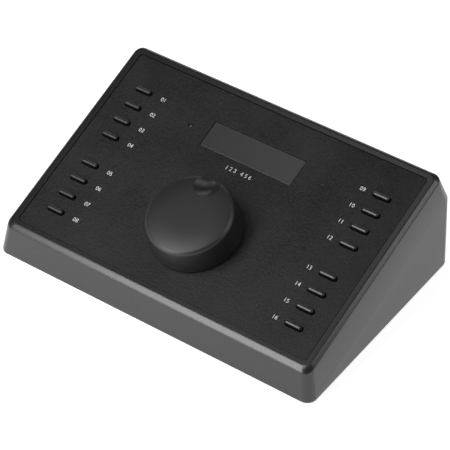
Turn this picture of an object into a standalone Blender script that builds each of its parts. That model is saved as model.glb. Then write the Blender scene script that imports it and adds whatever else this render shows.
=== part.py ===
# Studio monitor controller: a wedge shaped desktop unit with a large volume knob,
# sixteen keys in two columns, a display window, and its sockets in the back wall.
# Metres, +Z up, X to the right and Y to the back. The feet stand on z = 0.

import math

import bmesh
import bpy
from mathutils import Matrix, Vector

# Clearances
GAP = 0.0003
OVERRUN = 0.002
WELD = 0.0006

# Wedge body
BODY_WIDTH = 0.200
BODY_DEPTH = 0.1271
FRONT_HEIGHT = 0.0181
STAND = 0.0015
SHOULDER_DEPTH = 0.0168
SIDE_INSET = 0.0033
FRONT_INSET = 0.00355
BACK_INSET = 0.0047
CORNER_RADIUS = 0.0055
TOP_CORNER_RADIUS = 0.0048
EDGE_RADIUS = 0.0026
BOTTOM_ROUND = 0.0005
WALL = 0.0024
RIM_WIDTH = 0.00275

# Back opening and rear panel
OPENING_FROM_SIDE = 0.0120
OPENING_HALF_LENGTH = BODY_WIDTH / 2 - OPENING_FROM_SIDE
OPENING_LOW = 0.0063
OPENING_CORNER = 0.0020
REAR_THICK = 0.0015
REAR_LAP = 0.0024
RIB_THICK = 0.0020
RIB_REACH = 0.0030

# Sockets along the back wall
POWER_SHARE = -0.395
USB_SHARE = -0.3275
NETWORK_SHARE = -0.250
XLR_PITCH_SHARE = 0.135
JACK_FIRST_SHARE = 0.245
JACK_PITCH_SHARE = 0.075
POWER_X = BODY_WIDTH * POWER_SHARE
USB_X = BODY_WIDTH * USB_SHARE
NETWORK_X = BODY_WIDTH * NETWORK_SHARE
XLR_PITCH = BODY_WIDTH * XLR_PITCH_SHARE
JACK_FIRST_X = BODY_WIDTH * JACK_FIRST_SHARE
JACK_PITCH = BODY_WIDTH * JACK_PITCH_SHARE

XLR_COUNT = 3
XLR_SPACING = 0.0012
XLR_MARGIN = 0.0009
XLR_FLANGE_WIDTH = XLR_PITCH - XLR_SPACING
XLR_FLANGE_HEIGHT = 0.0308
XLR_Z = OPENING_LOW + XLR_MARGIN + XLR_FLANGE_HEIGHT / 2
OPENING_HIGH = XLR_Z + XLR_FLANGE_HEIGHT / 2 + XLR_MARGIN
XLR_FLANGE_THICK = 0.0020
XLR_FLANGE_CORNER = 0.0025
XLR_FLANGE_LAP = 0.0013
XLR_BODY_RADIUS = XLR_FLANGE_WIDTH / 2 - XLR_FLANGE_LAP
XLR_BODY_LENGTH = 0.0210
XLR_BARREL_WALL = 0.0022
XLR_GROOVE_WIDTH = 0.0018
XLR_GROOVE_OUTER = XLR_BODY_RADIUS - XLR_BARREL_WALL
XLR_GROOVE_INNER = XLR_GROOVE_OUTER - XLR_GROOVE_WIDTH
XLR_GROOVE_DEPTH = 0.0100
XLR_CONTACT_SHARE = 0.185
XLR_CIRCLE_SHARE = 0.513
XLR_CONTACT_RADIUS = XLR_GROOVE_INNER * XLR_CONTACT_SHARE
XLR_CONTACT_CIRCLE = XLR_GROOVE_INNER * XLR_CIRCLE_SHARE
XLR_CONTACT_DEPTH = 0.0090
XLR_CONTACTS = 3
XLR_SCREW_INSET = 0.0032
XLR_SCREW_X = XLR_FLANGE_WIDTH / 2 - XLR_SCREW_INSET
XLR_SCREW_Z = XLR_FLANGE_HEIGHT / 2 - XLR_SCREW_INSET

JACK_COUNT = 3
JACK_SPACING = 0.0014
JACK_BODY_MARGIN = 0.0018
JACK_NUT_RADIUS = (JACK_PITCH - JACK_SPACING) / 2
JACK_NUT_WALL = 0.0014
JACK_BUSHING_WALL = 0.0021
JACK_BODY_WIDTH = JACK_PITCH - JACK_BODY_MARGIN
JACK_BODY_LENGTH = 0.0260
JACK_BUSHING_RADIUS = JACK_NUT_RADIUS - JACK_NUT_WALL
JACK_BORE_RADIUS = JACK_BUSHING_RADIUS - JACK_BUSHING_WALL
JACK_BORE_DEPTH = 0.0220
JACK_NUT_THICK = 0.0016

NETWORK_WIDTH_SHARE = 0.080
NETWORK_WIDTH = BODY_WIDTH * NETWORK_WIDTH_SHARE
NETWORK_HEIGHT = 0.0134
NETWORK_LENGTH = 0.0200
NETWORK_WALL = 0.0021
NETWORK_MOUTH_WIDTH = NETWORK_WIDTH - 2 * NETWORK_WALL
NETWORK_MOUTH_HEIGHT = 0.0082
NETWORK_MOUTH_DEPTH = 0.0130
NETWORK_TAB_WIDTH = 0.0042
NETWORK_TAB_HEIGHT = 0.0016

USB_WIDTH_SHARE = 0.045
USB_WIDTH = BODY_WIDTH * USB_WIDTH_SHARE
USB_HEIGHT = 0.0033
USB_LENGTH = 0.0075
USB_SHELL = 0.0004
USB_TONGUE_ROOM = 0.0010
USB_TONGUE_WIDTH = USB_WIDTH - 2 * (USB_SHELL + USB_TONGUE_ROOM)
USB_TONGUE_THICK = 0.0008
USB_DEPTH = 0.0055

POWER_WIDTH_SHARE = 0.046
POWER_WIDTH = BODY_WIDTH * POWER_WIDTH_SHARE
POWER_HEIGHT = 0.0110
POWER_LENGTH = 0.0140
POWER_WALL = 0.0014
POWER_BORE_RADIUS = POWER_WIDTH / 2 - POWER_WALL
POWER_PIN_RADIUS = 0.0010
POWER_DEPTH = 0.0095

# Slope of the top: the back is as tall as its opening and the shoulder need
BACK_MARGIN = 0.00335
BACK_TOP_Z = OPENING_HIGH + REAR_LAP + BACK_MARGIN + SHOULDER_DEPTH
TOP_RUN = BODY_DEPTH - FRONT_INSET - BACK_INSET
TOP_RISE = BACK_TOP_Z - STAND - FRONT_HEIGHT
TILT = math.atan2(TOP_RISE, TOP_RUN)
SLOPE_LENGTH = math.hypot(TOP_RUN, TOP_RISE)

# Fascia plate and the deck that carries it
FASCIA_THICK = 0.0012
FASCIA_SINK = 0.0002
FASCIA_CORNER = 0.0018
DECK_THICK = 0.0022

# Keys
KEY_ROWS = 4
KEY_LENGTH = 0.0098
KEY_WIDTH = 0.0022
KEY_PROUD = 0.0019
KEY_ROUND = 0.00035
KEY_CLEARANCE = 0.0005
KEY_PITCH_SHARE = 0.0837
KEY_GROUP_GAP_SHARE = 0.1524
KEY_FIRST_SHARE = 0.1492
KEY_FROM_SIDE = 0.0242
KEY_PITCH = SLOPE_LENGTH * KEY_PITCH_SHARE
KEY_GROUP_GAP = SLOPE_LENGTH * KEY_GROUP_GAP_SHARE
KEY_FIRST_V = SLOPE_LENGTH * KEY_FIRST_SHARE
KEY_COLUMN_U = BODY_WIDTH / 2 - KEY_FROM_SIDE
KEY_HOLD = 0.0004
KEY_FLANGE = KEY_CLEARANCE + KEY_HOLD
KEY_FLANGE_THICK = 0.0010
STEM_LENGTH = 0.0038
STEM_WIDTH = 0.0020
STEM_DIP = 0.0012
KEY_TRAVEL = 0.0006

# Key switches under the keys
SWITCH_SIZE = 0.0060
SWITCH_HEIGHT = 0.0035

# Display
WINDOW_LENGTH = 0.0580
WINDOW_WIDTH = 0.0163
WINDOW_SHARE = 0.75
WINDOW_V = SLOPE_LENGTH * WINDOW_SHARE
WINDOW_CORNER = 0.0006
WINDOW_SINK = 0.00025
WINDOW_LEDGE = 0.0012
DISPLAY_MARGIN = 0.0024
DISPLAY_THICK = 0.0016
HOLDER_MARGIN = 0.0014
GASKET_THICK = 0.0008

# Light sensor beside the display
SENSOR_BESIDE = 0.0110
SENSOR_U = -WINDOW_LENGTH / 2 - SENSOR_BESIDE
SENSOR_RADIUS = 0.0009
SENSOR_HEAD_RADIUS = 0.0016
SENSOR_HEAD_THICK = 0.0010
SENSOR_CHIP = 0.0024
SENSOR_CHIP_THICK = 0.0010

# Control board under the deck
CONTROL_DROP = 0.0115
BOARD_THICK = 0.0016
CONTROL_FROM_SIDE = 0.0130
CONTROL_FROM_FRONT = 0.0105
CONTROL_FROM_BACK = 0.0135
CONTROL_HALF_LENGTH = BODY_WIDTH / 2 - CONTROL_FROM_SIDE
CONTROL_FRONT_V = CONTROL_FROM_FRONT
CONTROL_BACK_V = SLOPE_LENGTH - CONTROL_FROM_BACK
POST_RADIUS = 0.0028
POST_FROM_END = 0.0040
POST_FROM_KEYS = 0.0128
POST_U = KEY_COLUMN_U - POST_FROM_KEYS
POST_LOW_V = CONTROL_FRONT_V + POST_FROM_END
POST_HIGH_V = CONTROL_BACK_V - POST_FROM_END
POST_MID_V = (POST_LOW_V + POST_HIGH_V) / 2

# Volume knob
KNOB_SHARE = 0.3342
KNOB_V = SLOPE_LENGTH * KNOB_SHARE
KNOB_RADIUS = 0.0250
KNOB_TOP_RADIUS = 0.0233
KNOB_TOP = 0.0164
KNOB_CROWN = 0.0013
KNOB_CROWN_POWER = 3
KNOB_EDGE_RADIUS = 0.0012
KNOB_FLOAT = 0.0010
KNOB_WALL = 0.0022
KNOB_BOSS_RADIUS = 0.0062
KNOB_FOOT_CHAMFER = 0.0004
KNOB_TRAVEL = 0.0005
DIMPLE_OFFSET = 0.0194
DIMPLE_RADIUS = 0.0057
DIMPLE_DEPTH = 0.0038
DIMPLE_FLOOR = 0.0014
KNOB_ROOF = DIMPLE_DEPTH + DIMPLE_FLOOR
SHAFT_RADIUS = 0.0030
SHAFT_FLAT = 0.0015
SHAFT_SHORT = 0.0016

# Rotary encoder
ENCODER_SIZE = 0.0124
ENCODER_HEIGHT = 0.0060
BUSHING_RADIUS = 0.0045
BUSHING_RISE = 0.0022
NUT_FLATS = 0.0110
NUT_THICK = 0.0020
NUT_ROOM = 0.0020
WASHER_RADIUS = 0.0060
WASHER_THICK = 0.0005
ROTOR_RADIUS = 0.0047
ROTOR_THICK = 0.0026
ROTOR_ROOF = 0.0014
SPIGOT_RADIUS = 0.0020
PUSH_SWITCH_RADIUS = 0.0028
PUSH_SWITCH_THICK = 0.0010

# Base plate, feet and screws
BASE_SINK = 0.0005
BASE_THICK = 0.0012
FOOT_RADIUS = 0.0070
FOOT_ROUND = 0.0005
FOOT_FROM_SIDE = 0.0180
FOOT_FROM_FRONT = 0.01555
FOOT_X = BODY_WIDTH / 2 - FOOT_FROM_SIDE
FOOT_Y = BODY_DEPTH / 2 - FOOT_FROM_FRONT
BOSS_RADIUS = 0.0034
BOSS_FROM_SIDE = 0.0074
BOSS_FROM_FRONT = 0.01555
BOSS_FROM_BACK = 0.01955
BOSS_X = BODY_WIDTH / 2 - BOSS_FROM_SIDE
BOSS_FRONT_Y = -BODY_DEPTH / 2 + BOSS_FROM_FRONT
BOSS_BACK_Y = BODY_DEPTH / 2 - BOSS_FROM_BACK
SCREW_RADIUS = 0.0011
SCREW_HEAD_RADIUS = 0.0022
SCREW_HEAD_THICK = 0.0012
FLAT_HEAD_DEPTH = 0.0009
SCREW_LENGTH = 0.0060

# Main board in the back half
MAIN_FLOAT = 0.0048
MAIN_FROM_SIDE = 0.0130
MAIN_FRONT_SHARE = -0.0472
MAIN_FROM_BACK = 0.00755
MAIN_HALF_LENGTH = BODY_WIDTH / 2 - MAIN_FROM_SIDE
MAIN_FRONT_Y = BODY_DEPTH * MAIN_FRONT_SHARE
MAIN_BACK_Y = BODY_DEPTH / 2 - MAIN_FROM_BACK
STANDOFF_RADIUS = 0.0026
STANDOFF_FROM_END = 0.0050
STANDOFF_FROM_FRONT = 0.0070
STANDOFF_FROM_BACK = 0.0280
STANDOFF_X = MAIN_HALF_LENGTH - STANDOFF_FROM_END
STANDOFF_LOW_Y = MAIN_FRONT_Y + STANDOFF_FROM_FRONT
STANDOFF_HIGH_Y = MAIN_BACK_Y - STANDOFF_FROM_BACK
CHIP_SIZE = 0.0140
CHIP_THICK = 0.0012
CONVERTER_SIZE = 0.0090
CHIP_FROM_FRONT = 0.0210
CHIP_Y = MAIN_FRONT_Y + CHIP_FROM_FRONT
CONVERTER_SHARE = 0.322
CONVERTER_X = MAIN_HALF_LENGTH * CONVERTER_SHARE
CAPACITOR_RADIUS = 0.0032
CAPACITOR_HEIGHT = 0.0075
CAPACITOR_SHARE = 0.540
CAPACITOR_PITCH_SHARE = 0.098
CAPACITOR_X = MAIN_HALF_LENGTH * CAPACITOR_SHARE
CAPACITOR_PITCH = MAIN_HALF_LENGTH * CAPACITOR_PITCH_SHARE
CAPACITOR_COUNT = 3

# Flat cable between the two boards
RIBBON_WIDTH = 0.0140
RIBBON_THICK = 0.0004
RIBBON_BOW = 0.0120
PLUG_WIDTH = 0.0180
PLUG_LENGTH = 0.0050
PLUG_THICK = 0.0026
PLUG_SHARE = 0.603
PLUG_FROM_FRONT = 0.0080
PLUG_V = SLOPE_LENGTH * PLUG_SHARE
PLUG_Y = MAIN_FRONT_Y + PLUG_FROM_FRONT

# Fineness of round shapes
CORNER_STEPS = 5
EDGE_STEPS = 4
BAR_END_STEPS = 4
KEY_ROUND_STEPS = 2
KNOB_SIDES = 40
KNOB_EDGE_STEPS = 3
KNOB_CROWN_STEPS = 3
ROUND_SIDES = 20
NUT_SIDES = 16
SMALL_SIDES = 12
SCREW_SIDES = 8
INNER_CORNER_STEPS = 2
RIBBON_STEPS = 12

# Places worked out from the sizes above
FRONT_TOP_Y = -BODY_DEPTH / 2 + FRONT_INSET
FRONT_TOP_Z = STAND + FRONT_HEIGHT
PANEL = Matrix.Translation((0, FRONT_TOP_Y, FRONT_TOP_Z)) @ Matrix.Rotation(TILT, 4, "X")

FASCIA_TOP = -FASCIA_SINK
FASCIA_UNDER = FASCIA_TOP - FASCIA_THICK
DECK_TOP = FASCIA_UNDER - GAP
DECK_UNDER = DECK_TOP - DECK_THICK
FASCIA_HALF_U = BODY_WIDTH / 2 - SIDE_INSET - EDGE_RADIUS - RIM_WIDTH
FASCIA_FRONT_V = EDGE_RADIUS + RIM_WIDTH
FASCIA_BACK_V = SLOPE_LENGTH - EDGE_RADIUS - RIM_WIDTH
FASCIA_MID_V = (FASCIA_FRONT_V + FASCIA_BACK_V) / 2
FASCIA_HALF_V = (FASCIA_BACK_V - FASCIA_FRONT_V) / 2

BOARD_TOP = -CONTROL_DROP
BOARD_UNDER = BOARD_TOP - BOARD_THICK
SWITCH_TOP = BOARD_TOP + SWITCH_HEIGHT
STEM_END = SWITCH_TOP - STEM_DIP
BASE_LOW = STAND + BASE_SINK
BASE_HIGH = BASE_LOW + BASE_THICK
MAIN_LOW = BASE_HIGH + MAIN_FLOAT
MAIN_HIGH = MAIN_LOW + BOARD_THICK
SOCKET_FLOOR = MAIN_HIGH + GAP
BACK_INNER_Y = BODY_DEPTH / 2 - WALL
REAR_FACE_Y = BACK_INNER_Y - GAP
REAR_INNER_Y = REAR_FACE_Y - REAR_THICK
FLANGE_SEAT_Y = REAR_FACE_Y + GAP
JACK_Z = SOCKET_FLOOR + JACK_BODY_WIDTH / 2


# Materials

def make_material(name, colour, roughness, metallic=0.0):
    material = bpy.data.materials.new(name)
    material.use_nodes = True
    shader = material.node_tree.nodes["Principled BSDF"]
    shader.inputs["Base Color"].default_value = (*colour, 1.0)
    shader.inputs["Roughness"].default_value = roughness
    shader.inputs["Metallic"].default_value = metallic
    return material


# Mesh and object helpers

def finish_mesh(bm, name, smooth_angle=None):
    bmesh.ops.recalc_face_normals(bm, faces=bm.faces)
    mesh = bpy.data.meshes.new(name)
    bm.to_mesh(mesh)
    bm.free()
    if smooth_angle is not None:
        mesh.shade_smooth()
        mesh.set_sharp_from_angle(angle=math.radians(smooth_angle))
    return mesh


def add_object(name, mesh, material, parent=None, matrix=None):
    if not mesh.materials:
        mesh.materials.append(material)
    obj = bpy.data.objects.new(name, mesh)
    bpy.context.scene.collection.objects.link(obj)
    obj.parent = parent
    obj.matrix_basis = matrix or Matrix.Identity(4)
    return obj


def add_empty(name, matrix, parent=None):
    empty = bpy.data.objects.new(name, None)
    bpy.context.scene.collection.objects.link(empty)
    empty.parent = parent
    empty.matrix_basis = matrix
    return empty


def add_cutter(name, bm, target, operation="DIFFERENCE"):
    """Cut a shape out of the target, or join it on, in the target's own frame."""
    cutter = bpy.data.objects.new(name, finish_mesh(bm, name))
    bpy.context.scene.collection.objects.link(cutter)
    cutter.parent = target
    cutter.hide_render = True
    cutter.display_type = "WIRE"
    modifier = target.modifiers.new(name, "BOOLEAN")
    modifier.operation = operation
    modifier.solver = "EXACT"
    modifier.object = cutter
    return cutter


# Outlines

def rounded_outline(half_x, half_y, radius, steps=CORNER_STEPS):
    """Points of a rectangle with round corners, counter-clockwise, round the origin."""
    points = []
    corners = [(1, 1, 0), (-1, 1, 90), (-1, -1, 180), (1, -1, 270)]
    for sign_x, sign_y, start in corners:
        for step in range(steps + 1):
            angle = math.radians(start + 90 * step / steps)
            x = sign_x * (half_x - radius) + radius * math.cos(angle)
            y = sign_y * (half_y - radius) + radius * math.sin(angle)
            points.append((x, y))
    return points


def bar_outline(length, width, grow=0.0):
    """Points of a bar with half round ends along X, grown all round."""
    radius = width / 2 + grow
    straight = (length - width) / 2
    points = []
    for side, start in ((1, -90), (-1, 90)):
        for step in range(BAR_END_STEPS + 1):
            angle = math.radians(start + 180 * step / BAR_END_STEPS)
            points.append((side * straight + radius * math.cos(angle), radius * math.sin(angle)))
    return points


def circle_outline(radius, sides):
    turns = [math.tau * side / sides for side in range(sides)]
    return [(radius * math.cos(turn), radius * math.sin(turn)) for turn in turns]


def flat_circle_outline(radius, flat, sides):
    """A circle cut off by a flat at a height above its centre."""
    lift = math.asin(flat / radius)
    turns = [math.pi - lift + (math.pi + 2 * lift) * side / sides for side in range(sides + 1)]
    return [(radius * math.cos(turn), radius * math.sin(turn)) for turn in turns]


def hexagon_outline(flats, sides):
    """A hexagon drawn with the given count of points, so that it pairs with a round bore."""
    points = []
    for side in range(sides):
        turn = math.tau * side / sides
        within = (turn + math.pi / 6) % (math.pi / 3) - math.pi / 6
        reach = flats / 2 / math.cos(within)
        points.append((reach * math.cos(turn), reach * math.sin(turn)))
    return points


def moved(points, dx, dy):
    return [(x + dx, y + dy) for x, y in points]


# Solids from outlines

def loft(bm, rings, matrix=None):
    """Skin equal rings of 3-D points in order and cap both ends."""
    place = matrix or Matrix.Identity(4)
    layers = [[bm.verts.new(place @ Vector(point)) for point in ring] for ring in rings]
    count = len(layers[0])
    for lower, upper in zip(layers, layers[1:]):
        for side in range(count):
            following = (side + 1) % count
            bm.faces.new((lower[side], lower[following], upper[following], upper[side]))
    bm.faces.new(list(reversed(layers[0])))
    bm.faces.new(layers[-1])


def prism(bm, outline, low, high, matrix=None):
    """Extrude a 2-D outline along Z from low to high."""
    loft(bm, [[(x, y, low) for x, y in outline], [(x, y, high) for x, y in outline]], matrix)


def box(bm, centre, size, matrix=None):
    half_x, half_y, half_z = (side / 2 for side in size)
    outline = [(-half_x, -half_y), (half_x, -half_y), (half_x, half_y), (-half_x, half_y)]
    prism(bm, moved(outline, centre[0], centre[1]), centre[2] - half_z, centre[2] + half_z, matrix)


def tube(bm, outer, inner, low, high, matrix=None):
    """A closed wall between an outer and an inner outline of equal point counts."""
    place = matrix or Matrix.Identity(4)
    loops = []
    for outline, height in ((outer, low), (outer, high), (inner, high), (inner, low)):
        loops.append([bm.verts.new(place @ Vector((x, y, height))) for x, y in outline])
    count = len(outer)
    for index, first in enumerate(loops):
        second = loops[(index + 1) % len(loops)]
        for side in range(count):
            following = (side + 1) % count
            bm.faces.new((first[side], first[following], second[following], second[side]))


def revolve(bm, profile, sides, matrix=None):
    """Turn a profile of (radius, height) round Z. Its first and last points lie on the axis."""
    place = matrix or Matrix.Identity(4)
    bottom = bm.verts.new(place @ Vector((0, 0, profile[0][1])))
    top = bm.verts.new(place @ Vector((0, 0, profile[-1][1])))
    rings = []
    for radius, height in profile[1:-1]:
        circle = circle_outline(radius, sides)
        rings.append([bm.verts.new(place @ Vector((x, y, height))) for x, y in circle])
    for side in range(sides):
        following = (side + 1) % sides
        bm.faces.new((bottom, rings[0][following], rings[0][side]))
        bm.faces.new((top, rings[-1][side], rings[-1][following]))
        for lower, upper in zip(rings, rings[1:]):
            bm.faces.new((lower[side], lower[following], upper[following], upper[side]))


def facing_back(x, y, z):
    """A frame whose Z axis points out of the back wall and whose Y axis points up."""
    turn = Matrix(((-1, 0, 0, 0), (0, 0, 1, 0), (0, 1, 0, 0), (0, 0, 0, 1)))
    return Matrix.Translation((x, y, z)) @ turn


# Screws

def screw_post(post_radius, root, seat, board, head_side):
    """Profile of a post with its screw: column, shank through a board, and a pan head."""
    head_low = seat + 2 * head_side * GAP + board
    head_high = head_low + head_side * SCREW_HEAD_THICK
    return [
        (0, root),
        (post_radius, root),
        (post_radius, seat),
        (SCREW_RADIUS, seat),
        (SCREW_RADIUS, head_low),
        (SCREW_HEAD_RADIUS, head_low),
        (SCREW_HEAD_RADIUS - SCREW_HEAD_THICK / 2, head_high),
        (0, head_high),
    ]


def flat_screw_profile(length):
    """A countersunk screw whose head lies at the origin and whose shank points along -Z."""
    return [
        (0, -length),
        (SCREW_RADIUS, -length),
        (SCREW_RADIUS, -FLAT_HEAD_DEPTH),
        (SCREW_HEAD_RADIUS, 0),
        (0, 0),
    ]


def flat_screw_hole_profile(length):
    """The hole that clears a countersunk screw all round."""
    return [
        (0, -length),
        (SCREW_RADIUS + GAP, -length),
        (SCREW_RADIUS + GAP, -FLAT_HEAD_DEPTH - GAP / 2),
        (SCREW_HEAD_RADIUS + GAP, -GAP / 2),
        (SCREW_HEAD_RADIUS + GAP, OVERRUN),
        (0, OVERRUN),
    ]


# Places that several pieces share

def key_rows():
    """Key places up the slope: a lower group, a wider gap and an upper group."""
    lower = [KEY_FIRST_V + row * KEY_PITCH for row in range(KEY_ROWS)]
    start = lower[-1] + KEY_GROUP_GAP
    return lower + [start + row * KEY_PITCH for row in range(KEY_ROWS)]


def key_places():
    return [(side * KEY_COLUMN_U, v) for side in (-1, 1) for v in key_rows()]


def post_places():
    return [(side * POST_U, v) for side in (-1, 1) for v in (POST_LOW_V, POST_MID_V, POST_HIGH_V)]


def boss_places():
    middle = (BOSS_FRONT_Y + BOSS_BACK_Y) / 2
    return [(side * BOSS_X, y) for side in (-1, 1) for y in (BOSS_FRONT_Y, middle, BOSS_BACK_Y)]


def standoff_places():
    """Two near the board's front corners and three across its middle."""
    front = [(side * STANDOFF_X, STANDOFF_LOW_Y) for side in (-1, 1)]
    return front + [(side * STANDOFF_X, STANDOFF_HIGH_Y) for side in (-1, 0, 1)]


def xlr_places():
    return [(number - (XLR_COUNT - 1) / 2) * XLR_PITCH for number in range(XLR_COUNT)]


def jack_places():
    return [JACK_FIRST_X + number * JACK_PITCH for number in range(JACK_COUNT)]


def key_slot():
    return bar_outline(KEY_LENGTH, KEY_WIDTH, KEY_CLEARANCE)


# Housing

def top_height(y):
    return FRONT_TOP_Z + (y - FRONT_TOP_Y) * math.tan(TILT)


def lean_share(drop):
    """How much of the shoulder's lean is reached at a vertical drop below the top plane."""
    return max(0, 1 - drop / SHOULDER_DEPTH)


def body_ring(drop, extra=0.0, radius=CORNER_RADIUS):
    """One ring of the body at a drop below the top plane, drawn in by extra."""
    share = lean_share(drop)
    half_x = BODY_WIDTH / 2 - SIDE_INSET * share - extra
    front = -BODY_DEPTH / 2 + FRONT_INSET * share + extra
    back = BODY_DEPTH / 2 - BACK_INSET * share - extra
    outline = rounded_outline(half_x, (back - front) / 2, radius)
    return [(x, y, top_height(y) - drop) for x, y in moved(outline, 0, (back + front) / 2)]


def body_rings():
    """Rings from a deep skirt up over the leaning shoulder and the rounded top edge."""
    rings = [body_ring(top_height(BODY_DEPTH / 2) + OVERRUN), body_ring(SHOULDER_DEPTH)]
    for step in range(EDGE_STEPS, -1, -1):
        angle = math.radians(90 * step / EDGE_STEPS)
        drop = EDGE_RADIUS * (1 - math.cos(angle))
        extra = EDGE_RADIUS * (1 - math.sin(angle))
        radius = CORNER_RADIUS + (TOP_CORNER_RADIUS - CORNER_RADIUS) * lean_share(drop) - extra / 2
        rings.append(body_ring(drop, extra, radius))
    return rings


def cavity_rings():
    """Rings of the hollow: one wall inside the body and under the deck."""
    roof = -DECK_UNDER / math.cos(TILT)
    deep = top_height(BODY_DEPTH / 2) + OVERRUN + WALL
    return [body_ring(drop, WALL, CORNER_RADIUS - WALL) for drop in (deep, SHOULDER_DEPTH, roof)]


def body_mesh():
    """The outer skin, cut level at the bottom and rounded along that edge."""
    bm = bmesh.new()
    loft(bm, body_rings())
    geometry = bm.verts[:] + bm.edges[:] + bm.faces[:]
    cut = bmesh.ops.bisect_plane(
        bm, geom=geometry, plane_co=(0, 0, STAND), plane_no=(0, 0, 1), clear_inner=True
    )
    edges = [item for item in cut["geom_cut"] if isinstance(item, bmesh.types.BMEdge)]
    bmesh.ops.contextual_create(bm, geom=edges)
    bmesh.ops.bevel(
        bm, geom=edges, offset=BOTTOM_ROUND, segments=2, profile=0.5, affect="EDGES", clamp_overlap=True
    )
    return finish_mesh(bm, "housing_shell", 25)


def add_posts(bm):
    """Bosses for the base screws, posts for the control board and ribs for the rear panel."""
    roof_drop = -(DECK_TOP + DECK_UNDER) / 2 / math.cos(TILT)
    for x, y in boss_places():
        circle = moved(circle_outline(BOSS_RADIUS, SCREW_SIDES), x, y)
        low = [(px, py, BASE_HIGH + GAP) for px, py in circle]
        high = [(px, py, top_height(py) - roof_drop) for px, py in circle]
        loft(bm, [low, high])
    profile = screw_post(POST_RADIUS, DECK_UNDER + WELD, BOARD_TOP + GAP, -BOARD_THICK, -1)
    for u, v in post_places():
        revolve(bm, profile, SCREW_SIDES, PANEL @ Matrix.Translation((u, v, 0)))
    inner_x = OPENING_HALF_LENGTH + REAR_LAP - RIB_REACH
    outer_x = BODY_WIDTH / 2 - WALL / 2
    low = BASE_HIGH + GAP
    high = OPENING_HIGH + REAR_LAP
    size = (outer_x - inner_x, RIB_THICK, high - low)
    for side in (-1, 1):
        y = REAR_INNER_Y - GAP - RIB_THICK / 2
        box(bm, (side * (inner_x + outer_x) / 2, y, (low + high) / 2), size)


def add_deck_openings(bm):
    """Slots and holes through the deck for the keys, the display, the bushing and the sensor."""
    low = DECK_UNDER - WELD
    high = DECK_TOP + WELD
    for u, v in key_places():
        prism(bm, moved(key_slot(), u, v), low, high, PANEL)
    half_length = WINDOW_LENGTH / 2 - WINDOW_LEDGE
    half_width = WINDOW_WIDTH / 2 - WINDOW_LEDGE
    view = rounded_outline(half_length, half_width, WINDOW_CORNER, INNER_CORNER_STEPS)
    prism(bm, moved(view, 0, WINDOW_V), low, high, PANEL)
    bushing = circle_outline(BUSHING_RADIUS + GAP, SMALL_SIDES)
    prism(bm, moved(bushing, 0, KNOB_V), low, high, PANEL)
    sensor = circle_outline(SENSOR_RADIUS + GAP, SMALL_SIDES)
    prism(bm, moved(sensor, SENSOR_U, WINDOW_V), low, high, PANEL)


def make_housing(material):
    housing = add_object("housing_shell", body_mesh(), material)

    bm = bmesh.new()
    loft(bm, cavity_rings())
    add_cutter("housing_cavity", bm, housing)

    bm = bmesh.new()
    add_posts(bm)
    add_cutter("housing_posts", bm, housing, "UNION")

    bm = bmesh.new()
    pocket = rounded_outline(FASCIA_HALF_U + GAP, FASCIA_HALF_V + GAP, FASCIA_CORNER)
    prism(bm, moved(pocket, 0, FASCIA_MID_V), DECK_TOP, OVERRUN, PANEL)
    opening = rounded_outline(OPENING_HALF_LENGTH, (OPENING_HIGH - OPENING_LOW) / 2, OPENING_CORNER)
    mouth = facing_back(0, BACK_INNER_Y - GAP / 2, (OPENING_HIGH + OPENING_LOW) / 2)
    prism(bm, opening, 0, WALL + OVERRUN, mouth)
    for x, y in boss_places():
        circle = moved(circle_outline(SCREW_RADIUS + GAP, SCREW_SIDES), x, y)
        prism(bm, circle, BASE_LOW, BASE_LOW + SCREW_LENGTH + GAP)
    add_cutter("housing_pocket", bm, housing)

    bm = bmesh.new()
    add_deck_openings(bm)
    add_cutter("housing_openings", bm, housing)
    return housing


# Fascia, display and sensor

def make_fascia(material, panel):
    bm = bmesh.new()
    outline = rounded_outline(FASCIA_HALF_U, FASCIA_HALF_V, FASCIA_CORNER - GAP)
    prism(bm, moved(outline, 0, FASCIA_MID_V), FASCIA_UNDER, FASCIA_TOP)
    fascia = add_object("fascia_panel", finish_mesh(bm, "fascia_panel"), material, panel)
    bm = bmesh.new()
    low = FASCIA_UNDER - OVERRUN
    high = FASCIA_TOP + OVERRUN
    for u, v in key_places():
        prism(bm, moved(key_slot(), u, v), low, high)
    corner = WINDOW_CORNER + GAP
    window = rounded_outline(WINDOW_LENGTH / 2, WINDOW_WIDTH / 2, corner, INNER_CORNER_STEPS)
    prism(bm, moved(window, 0, WINDOW_V), low, high)
    prism(bm, moved(circle_outline(WASHER_RADIUS + NUT_ROOM, SMALL_SIDES), 0, KNOB_V), low, high)
    sensor = circle_outline(SENSOR_RADIUS + GAP, SMALL_SIDES)
    prism(bm, moved(sensor, SENSOR_U, WINDOW_V), low, high)
    add_cutter("fascia_openings", bm, fascia)
    return fascia


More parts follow.
